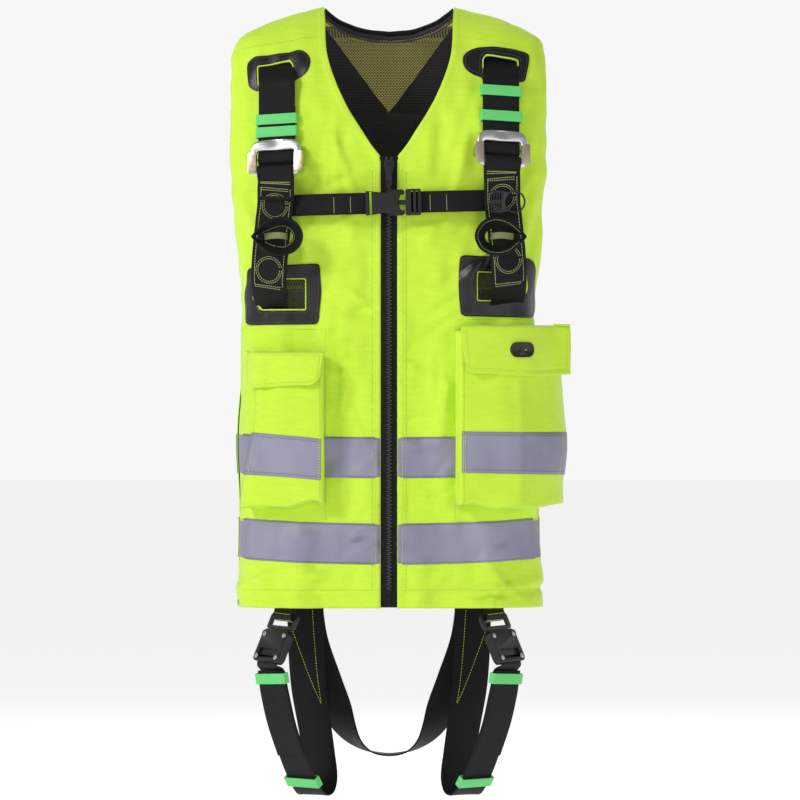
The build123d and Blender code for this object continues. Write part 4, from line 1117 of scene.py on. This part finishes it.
# ---- webbing ------------------------------------------------------------------------------------
class Ribbon:
    """Webbing that follows stations of (point, direction of its width)."""

    def __init__(self, stations, width=45.0, thick=1.9, step=2.0, cup=0.0):
        points = np.array([p for p, _ in stations], float)
        wide = np.array([w for _, w in stations], float)
        wide /= np.linalg.norm(wide, axis=1, keepdims=True)
        lengths = np.linalg.norm(np.diff(points, axis=0), axis=1)
        counts = np.maximum(2, np.round(lengths / step).astype(int))
        t = np.concatenate([np.linspace(i, i + 1, n, endpoint=False) for i, n in enumerate(counts)]
                           + [[len(points) - 1]])
        both = np.concatenate([points, wide], axis=1)
        padded = np.concatenate([2 * both[:1] - both[1:2], both, 2 * both[-1:] - both[-2:-1]])
        i = np.minimum(t.astype(int), len(points) - 2)
        f = (t - i)[:, None]
        a, b, c, d = padded[i], padded[i + 1], padded[i + 2], padded[i + 3]
        chord = np.maximum(lengths[i], 1e-6)[:, None]
        scale_a = chord / (chord + np.maximum(np.concatenate([lengths[:1], lengths])[i], 1e-6)[:, None])
        scale_d = chord / (chord + np.maximum(np.concatenate([lengths, lengths[-1:]])[i + 1], 1e-6)[:, None])
        m0, m1 = (c - a) * scale_a, (d - b) * scale_d
        curve = ((2 * f**3 - 3 * f**2 + 1) * b + (f**3 - 2 * f**2 + f) * m0
                 + (3 * f**2 - 2 * f**3) * c + (f**3 - f**2) * m1)
        self.line = curve[:, :3]
        along = np.gradient(self.line, axis=0)
        along /= np.linalg.norm(along, axis=1, keepdims=True)
        across = curve[:, 3:]
        across = across - along * (across * along).sum(axis=1, keepdims=True)
        across /= np.linalg.norm(across, axis=1, keepdims=True)
        self.across, self.along = across, along
        self.normal = np.cross(across, along)
        self.run = np.concatenate([[0], np.cumsum(np.linalg.norm(np.diff(self.line, axis=0), axis=1))])
        self.width, self.thick, self.cup = width, thick, cup

    def at(self, u, v, lift=0.0):
        """Point at u across and v along, lifted off the middle plane, with the normal there."""
        def pick(values):
            return np.stack([np.interp(v, self.run, values[:, k]) for k in range(3)], axis=-1)
        u, v = np.asarray(u, float), np.asarray(v, float)
        normal = pick(self.normal)
        place = (pick(self.line) + pick(self.across) * u[..., None]
                 + normal * (lift + self.cup * (u / self.width * 2) ** 2)[..., None])
        return place, normal

    def build(self, name, body, material="black_webbing", nodes=()):
        half, t = self.width / 2, self.thick / 2
        profile = [(-half + t, -t)]
        profile += [(u, -t) for u in np.linspace(-half + t, half - t, 9)[1:]]
        profile += [(half - 0.3 * t, -0.7 * t), (half, 0), (half - 0.3 * t, 0.7 * t)]
        profile += [(u, t) for u in np.linspace(half - t, -half + t, 9)]
        profile += [(-half + 0.3 * t, 0.7 * t), (-half, 0), (-half + 0.3 * t, -0.7 * t)]
        points, uvs = [], []
        ridge = 0.12
        for i, v in enumerate(self.run):
            for u, w in profile:
                lift = w * (1 + ridge * (abs(u) > half * 0.82)) + self.cup * (2 * u / self.width) ** 2
                points.append(self.line[i] + self.across[i] * u + self.normal[i] * lift)
                uvs.append((u, v))
        n, rows = len(profile), len(self.run)
        faces = [(r * n + k, r * n + (k + 1) % n, (r + 1) * n + (k + 1) % n, (r + 1) * n + k)
                 for r in range(rows - 1) for k in range(n)]
        faces += [tuple(range(n))[::-1], tuple(range((rows - 1) * n, rows * n))]
        obj = make_object(name, points, faces, material, body, uvs)
        if nodes:
            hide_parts(*nodes)
        return obj

    def sew(self, points, body, material="pale_thread", front=1.0, **style):
        """Stitches along (u, v) points, on the +normal side or the other."""
        p = np.asarray(points, float)
        run = np.concatenate([[0], np.cumsum(np.linalg.norm(np.diff(p, axis=0), axis=1))])
        at = np.arange(0, run[-1], 1.0)
        u, v = np.interp(at, run, p[:, 0]), np.interp(at, run, p[:, 1])
        place, normal = self.at(u, v, front * (self.thick / 2 + 0.15))
        THREAD.dashes(place, normal * front, material, body, **style)

    def circle(self, u, v, radius, body, front=1.0, material="pale_thread"):
        angles = np.linspace(0, 2 * math.pi, 60)
        self.sew([(u + radius * math.cos(a), v + radius * math.sin(a)) for a in angles],
                 body, material, front, pitch=3.0, length=2.0)


def mirror_stations(stations):
    return [((-x, y, z), (wx, -wy, -wz)) for (x, y, z), (wx, wy, wz) in stations]


class Place:
    """A local frame in millimetres: X across, Y away from the viewer, Z up."""

    def __init__(self, origin, across, up):
        self.origin = np.array(origin, float)
        self.up = np.array(up, float) / np.linalg.norm(up)
        across = np.array(across, float)
        across = across - self.up * across.dot(self.up)
        self.across = across / np.linalg.norm(across)
        self.back = np.cross(self.up, self.across)

    def at(self, x, y, z):
        return tuple(self.origin + self.across * x + self.back * y + self.up * z)

    def stations(self, points):
        return [(self.at(0, y, z), tuple(self.across)) for y, z in points]


RUN_TOP = np.array((136.5, -88.0, -95.0))
RUN_END = np.array((136.5, -112.0, -178.0))
ADJUSTER_Z = {1: -178.0, -1: -189.0}
KEEPER_TOP_Z = {1: -106.0, -1: -141.0}
CROSSING_DEPTH = {1: -5.8, -1: -9.2}
TURN = math.radians(12)


def run_place(z):
    share = (z - RUN_TOP[2]) / (RUN_END[2] - RUN_TOP[2])
    return Place(RUN_TOP + (RUN_END - RUN_TOP) * share, (math.cos(TURN), math.sin(TURN), 0),
                 RUN_TOP - RUN_END)


def arc(centre, radius, start, end, steps=10):
    angles = np.radians(np.linspace(start, end, steps + 1))
    return [(centre[0] + radius * math.cos(t), centre[1] + radius * math.sin(t)) for t in angles]


def torso_station(x, z, back, out):
    a, b = (shell_point([x - 1.0, x, x + 1.0], z, back, out, False)[[0, 2]],
            shell_point(x, z, back, out, False))
    slope = (a[1] - a[0]) / 2
    return tuple(b), (1, slope[1], 0)


def shoulder_stations(sign):
    place = run_place(ADJUSTER_Z[sign])
    rise = (KEEPER_TOP_Z[sign] + 16 - ADJUSTER_Z[sign]) / math.cos(math.radians(16))
    tail = [(2.7, rise), (2.7, 20), (3.9, 12), (6.8, 5)]
    stations = place.stations(tail + arc((3.6, -2.0), 3.6, 0, -180) + [(0, 14)])
    stations.append((tuple(RUN_TOP), tuple(place.across)))
    stations += [((136.5, y, z), (1, 0.19, 0)) for z, y in
                 ((-87, -82), (-80, -73), (-72.5, -62), (-66, -54), (-59, -47.5))]
    stations += [torso_station(x, z, False, -7.5) for x, z in ((133, -45), (126, -33))]
    stations += [((117, -14, -19.5), (1, 0, -0.3)), ((111, 2, -17), (1, 0.1, -0.3)),
                 ((104, 18, -19.5), (1, 0.2, -0.25))]
    stations += [torso_station(x, z, True, CROSSING_DEPTH[sign]) for x, z in
                 ((93, -34), (78, -55), (60, -80), (42, -105), (22, -132), (0, -160), (-22, -188), (-46, -240),
                  (-68, -310), (-88, -400), (-102, -500), (-110, -600), (-111, -646))]
    stations += [((-110, 78, -668), (1, -0.1, 0)), ((-108, 50, -686), (1, 0, 0)),
                 ((-106, 40, -696), (1, 0, 0))]
    return stations


def chest_stations(sign):
    place = run_place(ADJUSTER_Z[sign])
    x, y, z = place.origin
    across = tuple(place.across)
    stations = [((x + 1, y - 6.5, z - 51), across), ((x + 0.8, y - 9.0, z - 39), across),
                ((x + 0.6, y - 10.8, z - 30), across)]
    stations += place.stations([(-0.2, -19.5)] + arc((-5, -15.2), 4.8, 0, 180) + [(-9.8, -18.5)])
    stations += [((x + 0.5, y - 14.0, z - 27), across), ((x + 0.8, y - 11.6, z - 38), across)]
    for turn, point in ((12, (137.6, -118.6, -242)), (12, (140, -117.6, -264)), (12, (143, -116.6, -292)),
                        (15, (145.4, -115, -320)), (20, (146, -110.5, -340)), (26, (145.4, -101, -355)),
                        (32, (143.5, -88, -367)), (35, (142.8, -79.5, -379))):
        turn = math.radians(turn)
        stations.append((point, (math.cos(turn), math.sin(turn), 0)))
    stations += [torso_station(x, z, False, -9.5) for x, z in
                 ((144, -396), (141, -450), (137, -520), (131, -590), (124, -650), (118, -690))]
    return stations


def along_at(ribbon, z, after=0.0):
    """Distance along a ribbon where its line first reaches a height, past a given distance."""
    picks = np.where(ribbon.run > after)[0]
    heights = ribbon.line[picks, 2] - z
    turn = np.where(np.diff(np.sign(heights)) != 0)[0]
    return ribbon.run[picks[turn[0]]] if len(turn) else ribbon.run[picks[np.argmin(abs(heights))]]


CHEST_SEWING = {
    # heights of the bar tacks, of the sewn box's ends and of the circles' middles
    1: {"tacks": (-206.5, -208.2), "box": (-214, -342), "circles": (-237, -314)},
    -1: {"tacks": (-218.5, -220.2), "box": (-226, -346), "circles": (-246, -325)},
}


def harness_webbing():
    for sign, side in ((1, "left"), (-1, "right")):
        fix = (lambda s: s) if sign > 0 else mirror_stations
        strap = Ribbon(fix(shoulder_stations(sign)), cup=0.0)
        strap.build(f"shoulder_strap_{side}", "vest", nodes=[f"shoulder_webbing_{side}"])
        roll = run_place(ADJUSTER_Z[sign]).stations(
            [(-0.9, 15), (-1.9, 10.5), (-3.9, 6), (-4.9, 1.5),
             (-4.7, -2.5), (-3.0, -6.0), (0.2, -7.4), (3.0, -6.6)])
        Ribbon(fix(roll), 44.0, step=1.0).build(f"adjuster_webbing_roll_{side}", "vest")
        chest = Ribbon(fix(chest_stations(sign)))
        chest.build(f"chest_front_strap_{side}", "vest", nodes=[f"chest_webbing_{side}"])
        rows = CHEST_SEWING[sign]
        for z in rows["tacks"]:
            v = along_at(chest, z, 60)
            chest.sew([(-19.0, v), (19.0, v)], "vest", front=-1, pitch=1.6, length=1.3, radius=0.4)
        top, foot = along_at(chest, rows["box"][0], 60), along_at(chest, rows["box"][1], 60)
        for v in (top, top + 2.6, foot - 2.6, foot):
            chest.sew([(-18, v), (18, v)], "vest", front=-1, pitch=2.6, length=1.9)
        for u in (-18, 18):
            chest.sew([(u, top), (u, foot)], "vest", front=-1)
        for z in rows["circles"]:
            for radius in (13.8, 16.2):
                chest.circle(0, along_at(chest, z, 60), radius, "vest", -1)
    for sign, side, inner, depth in ((1, "left", 27.0, 4.1), (-1, "right", 23.6, 1.8)):
        place = chest_place()
        stations = [(place.at(sign * x, y, 0), tuple(place.up)) for x, y in
                    ((158, 29.5), (137, 19.0), (113, 12.5), (88, 5.6), (76, 4.2),
                     (64, depth), (inner, depth))]
        ribbon = Ribbon(stations, 26.0, 1.6)
        ribbon.build(f"chest_belt_{side}", "vest", nodes=[f"chest_strap_{side}"])
        reach = ribbon.run[-1]
        front = 1 if ribbon.normal[-1][1] < 0 else -1
        for k in range(2):
            v = reach - 23 - 20 * k
            ribbon.sew([(-10.5, v), (10.5, v)], "vest", front=front, pitch=1.6, length=1.3, radius=0.3)


def chest_place():
    tilt = math.radians(1.5)
    return Place((0, -131, -243), (math.cos(tilt), 0, math.sin(tilt)), (-math.sin(tilt), 0, math.cos(tilt)))


LEG_ROUTE = (
    ((104, 9, -704), (1, 0.0, 0)), ((103, 12, -745), (1, 0.05, 0)), ((102, 15, -787), (1, 0.1, 0)),
    ((99, 19, -835), (1, 0.25, 0)), ((92, 21, -882), (1, 0.45, 0)), ((86, 17, -920), (1, 0.6, 0)),
    ((83, 6, -948), (1, 0.7, 0)), ((87, -10, -963), (1, 0.75, 0)), ((95, -27, -964), (1, 0.8, 0)),
    ((105, -43, -948), (1, 0.85, 0)), ((118, -57, -915), (1, 0.88, 0)),
    ((130, -66, -878), (1, 0.9, 0)), ((138, -71, -842), (1, 0.9, 0)), ((141.6, -73.3, -821), (1, 1.0, 0)),
    ((142.9, -74.3, -812), (1, 1.05, 0)),
)
SEAT_ROUTE = (
    ((105, 13, -704), (1, 0.0, 0)), ((103.5, 16, -740), (1, 0.0, 0)), ((97, 20, -781), (1, 0.06, 0)),
    ((80, 25, -828), (1, 0.25, 0)), ((67, 29, -858), (1, 0.5, 0)), ((56, 32, -883), (0.8, 0.8, 0)),
    ((43, 34, -902), (0.5, 1, 0)), ((27, 35.5, -914), (0.2, 1, 0)), ((9, 36, -919), (0.0, 1, 0)),
)
BUCKLE = Place((140.7, -72.6, -783.0), (0.56, 0.83, -0.02), (-0.36, 0.20, 0.912))


def leg_harness():
    for sign, side in ((1, "left"), (-1, "right")):
        fix = (lambda s: s) if sign > 0 else mirror_stations
        loop = Ribbon(fix(list(LEG_ROUTE) + BUCKLE.stations([(0.6, -24), (0, -14)])))
        loop_obj = loop.build(f"thigh_strap_{side}", "leg_harness")
        tail = []
        for (x, y, z), wide in LEG_ROUTE[-5:]:
            out = np.cross(wide, (0, 0, 1))
            out = out / np.linalg.norm(out) * 2.3
            tail.append(((x + out[0], y + out[1], z), wide))
        tail_obj = Ribbon(fix(tail)).build(f"thigh_strap_tail_{side}", "leg_harness")
        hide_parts(f"leg_webbing_{side}")
        short = BUCKLE.stations(arc((0, 40.5), 4.9, 0, -180) + [(-4.9, 46.5)])
        short += [((127, -64, -722), (0.58, 0.81, 0)), ((125, -62, -706), (0.62, 0.78, 0))]
        tongue = Ribbon(fix(short), 44.0)
        tongue.build(f"tongue_strap_{side}", f"leg_tongue_{side}", nodes=[f"tongue_webbing_{side}"])
        for v in (tongue.run[-1] - 48, tongue.run[-1] - 45, tongue.run[-1] - 38):
            tongue.sew([(-19, v), (19, v)], f"leg_tongue_{side}", pitch=1.6, length=1.3, radius=0.34)
        for inward, v in ((8, 22), (-16, 62)):
            ends = [(-sign * inward, v), (-sign * 14, 156)]
            for front in (-1, 1):
                loop.sew(ends, "leg_harness", "yellow_thread", front=front, pitch=3.6)
    right = [((-x, y, z), (-wx, wy, -wz)) for (x, y, z), (wx, wy, wz) in SEAT_ROUTE]
    seat = Ribbon(list(SEAT_ROUTE) + right[::-1])
    seat.build("seat_strap", "leg_harness", nodes=["seat_webbing"])


def sternal_loops():
    path = ((0, 2), (-10, 8.5), (-22, 15), (-35, 17.5), (-47, 12.5), (-53, 1), (-48.5, -10.5), (-36, -17),
            (-22, -15.5), (-10, -8.5), (0, -2))
    for sign, side in ((1, "left"), (-1, "right")):
        stations = []
        for i, (dx, dz) in enumerate(path):
            before, after = path[max(i - 1, 0)], path[min(i + 1, len(path) - 1)]
            along = np.array([after[0] - before[0], 0, after[1] - before[1]], float)
            along /= np.linalg.norm(along)
            outward = np.array([-along[2], 0, along[0]])
            reach = min(1.0, -dx / 20)
            stations.append(((163 + dx, -124.5 - 11.5 * reach - 1.2, -284 + dz),
                             tuple(np.array([0, 1, 0]) + outward * 0.72 * reach)))
        stations = stations if sign > 0 else mirror_stations(stations)
        ribbon = Ribbon(stations, 20.0, 2.2, step=1.5)
        ribbon.build(f"sternal_attachment_loop_{side}", f"sternal_loop_{side}",
                     nodes=[f"sternal_loop_{side}"])
        for front in (-1, 1):
            ribbon.sew([(-6, 8), (-6, ribbon.run[-1] - 8)], f"sternal_loop_{side}", front=front, radius=0.26)
        tag = [((163 - dx, y, -284 + dz), (0.1, 0, 1)) for dx, y, dz in
               ((12, -127.5, 0), (20, -131.5, 1.0), (29, -134.0, 1.5), (37, -132.5, 0.5), (40, -129.5, 0))]
        tag = tag if sign > 0 else mirror_stations(tag)
        Ribbon(tag, 8.0, 0.7, step=1.0).build(f"sternal_loop_tag_{side}", f"sternal_loop_{side}",
                                              "label_cloth")


# ---- zip ----------------------------------------------------------------------------------------
ZIP_Y, ZIP_TOP, PITCH = -112.0, -186.0, 4.5


def zipper():
    rows = np.linspace(HEM_Z + 1, ZIP_TOP - 1, 200)
    for sign, side in ((1, "left"), (-1, "right")):
        xs = np.array([0.02, 1.5, 3.2, 3.5, 6, 8, 10, 13.5])
        depth = np.array([0, 0, 0, 0.25, 0.3, 0.3, 0.7, 1.6])
        grid = np.zeros((len(rows), len(xs), 3))
        for r, z in enumerate(rows):
            grid[r, :, 0] = xs * sign
            grid[r, :, 1] = ZIP_Y - 0.8 + depth
            grid[r, :, 2] = z
        obj = cloth_grid(f"zipper_tape_{side}", grid, "black_webbing", "vest", 0.9, flip=sign < 0)
        if sign > 0:
            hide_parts("zipper_tapes")
    teeth = []
    top = ZIP_TOP - 20
    count = int((ZIP_TOP - HEM_Z - 38) / PITCH)
    for i in range(count):
        for sign in (1, -1):
            z = top - i * PITCH - (PITCH / 2 if sign > 0 else 0)
            teeth.append(tooth(sign, z))
    obj = join_meshes("zipper_tooth_chain", teeth, "vest", "zipper_metal")
    bevel(obj, 0.22, 2)
    stop = refine("zipper_teeth", "zipper_metal", "vest", 0.3, "zipper_stops_and_box", 2)
    work = bmesh.new()
    work.from_mesh(stop.data)
    low, high = (top - count * PITCH + 1) * MM, (top + 0.5) * MM
    inside = [v for v in work.verts if low - 0.012 < v.co.z < high]
    bmesh.ops.delete(work, geom=inside, context="VERTS")
    work.to_mesh(stop.data)
    work.free()


def tooth(sign, z):
    """A moulded tooth: a foot on the tape, a waist and a rounded head past the middle."""
    half = PITCH / 2
    plan = ((3.6, 0.8), (2.2, 0.8), (0.9, 0.62), (0.2, 0.9), (-0.9, 0.95), (-1.6, 0.6))
    points, faces = [], []
    for y in (ZIP_Y - 1.0, ZIP_Y - 3.4):
        swell = 1.0 if y > ZIP_Y - 2 else 0.86
        ring = ([(x * sign, y, z + h * swell) for x, h in plan]
                + [(x * sign, y, z - h * swell) for x, h in plan[::-1]])
        points += ring
    n = 2 * len(plan)
    faces.append(tuple(range(n)))
    faces.append(tuple(range(n, 2 * n))[::-1])
    faces += [(k, k + n, (k + 1) % n + n, (k + 1) % n) for k in range(n)]
    if sign < 0:
        faces = [face[::-1] for face in faces]
    return points, faces


# ---- hard pieces --------------------------------------------------------------------------------
FRAME_OUTER = ((0, 22.6), (16, 22.4), (24, 21.2), (29.5, 17), (31.3, 10), (31.0, -2), (29.5, -17),
               (27.5, -22.5),
               (22, -23.6), (0, -23.6))
FRAME_INNER = ((0, 9.0), (14, 9.2), (21, 9.0), (23.2, 7.0), (23.4, 2), (23.4, -4), (23.2, -9),
               (21.5, -11), (14, -11.5),
               (0, -11.5))


def adjuster_frame(sign, side):
    """Pressed frame with a crowned top bar, a thumb hollow in it, and rounded edges."""
    place = run_place(ADJUSTER_Z[sign])
    outer = np.array(rounded(symmetric(FRAME_OUTER), 4, 5))
    inner = np.array(rounded(symmetric(FRAME_INNER), 2, 5))
    count = 160
    outer, inner = even_loop(outer, count), even_loop(inner, count)
    rings = []
    profile = [(0.06, -3.0), (0.0, -3.6), (0.0, -6.0), (0.05, -6.8)]
    profile += [(s, -7.0 - 0.9 * math.sin(math.pi * s)) for s in np.linspace(0.12, 0.88, 9)]
    profile += [(0.95, -6.8), (1.0, -6.0), (1.0, -3.6), (0.94, -3.0)]
    for share, y in profile:
        loop = outer * (1 - share) + inner * share
        dish = (2.2 * np.exp(-(loop[:, 0] / 10.5) ** 2 - ((loop[:, 1] - 19.5) / 7.5) ** 2)
                if y < -6.5 else 0 * loop[:, 0])
        ring = [place.at(x, y + d, z) for (x, z), d in zip(loop, dish)]
        rings.append(ring)
    points = [(x * sign, y, z) for ring in rings for x, y, z in ring]
    total = len(rings)
    faces = [(r * count + k, ((r + 1) % total) * count + k, ((r + 1) % total) * count + (k + 1) % count,
              r * count + (k + 1) % count) for r in range(total) for k in range(count)]
    obj = make_object(f"adjuster_frame_pressed_{side}", points, faces, "bare_aluminium", "vest",
                      uvs=np.asarray(points)[:, [0, 2]])
    face_outward(obj)
    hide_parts(f"adjuster_frame_{side}")


def symmetric(half):
    """A closed outline from its half at positive x, which starts and ends on the axis."""
    return list(half) + [(-x, z) for x, z in half[::-1] if x > 0]


def even_loop(points, count):
    closed = np.concatenate([points, points[:1]])
    run = np.concatenate([[0], np.cumsum(np.linalg.norm(np.diff(closed, axis=0), axis=1))])
    angles = np.arctan2(closed[:-1, 1] + 1, closed[:-1, 0])
    start = int(np.argmin(abs(angles - math.pi / 2)))
    at = (np.linspace(0, run[-1], count, endpoint=False) + run[start]) % run[-1]
    return np.stack([np.interp(at, run, closed[:, k]) for k in (0, 1)], axis=1)


def face_outward(obj):
    work = bmesh.new()
    work.from_mesh(obj.data)
    bmesh.ops.recalc_face_normals(work, faces=work.faces)
    work.to_mesh(obj.data)
    work.free()


def hardware():
    for sign, side in ((1, "left"), (-1, "right")):
        adjuster_frame(sign, side)
        refine(f"adjuster_bar_{side}", "brass_anodised", f"adjuster_bar_{side}", 0.6)
        for level in ("upper", "lower"):
            node = f"shoulder_keeper_{level}_{side}"
            refine(node, "green_elastic", node, 1.0)
            node = f"leg_keeper_{level}_{side}"
            refine(node, "green_elastic", node, 1.0)
        refine(f"leg_buckle_body_{side}", "black_plastic", "leg_harness", 1.2)
        refine(f"leg_buckle_tongue_{side}", "black_steel", f"leg_tongue_{side}", 0.8)
        refine(f"leg_buckle_lever_{side}", "black_steel", f"leg_buckle_lever_{side}", 0.5)
    refine("leg_buckle_rivets", "forged_steel", "leg_harness", 0.45)
    refine("dorsal_plate", "black_plastic", "vest", 0.9)
    refine("dorsal_d_ring", "forged_steel", "dorsal_d_ring", 0.3)
    refine("chest_buckle_socket", "black_plastic", "vest", 1.0)
    refine("chest_buckle_plug", "black_plastic", "chest_buckle_plug", 0.9)
    for level in ("upper", "lower"):
        node = f"chest_buckle_prong_{level}"
        refine(node, "black_plastic", node, 0.5)
    refine("lanyard_park_clip", "black_plastic", "vest", 0.4)
    refine("zipper_slider", "black_plastic", "zipper_slider", 0.3)
    refine("zipper_puller", "black_plastic", "zipper_puller", 0.35)


def finish_scene():
    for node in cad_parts.values():
        node.data.materials.clear()
        node.data.materials.append(MAT["black_plastic"])


add_studio()
add_camera()
vest_shell()
lining()
backlight_glow_sheet()
neck_trim()
patches()
band("band_upper", -522.5, 4.5, "reflective_band_upper")
band("band_lower", -625.0, 7.0, "reflective_band_lower")
for wearer_side in (-1, 1):
    pouch(wearer_side)
    flap_grid = flap(wearer_side)
badge_plate(flap_grid)
vest_stitching()
harness_webbing()
leg_harness()
sternal_loops()
zipper()
hardware()
THREAD.finish()
finish_scene()
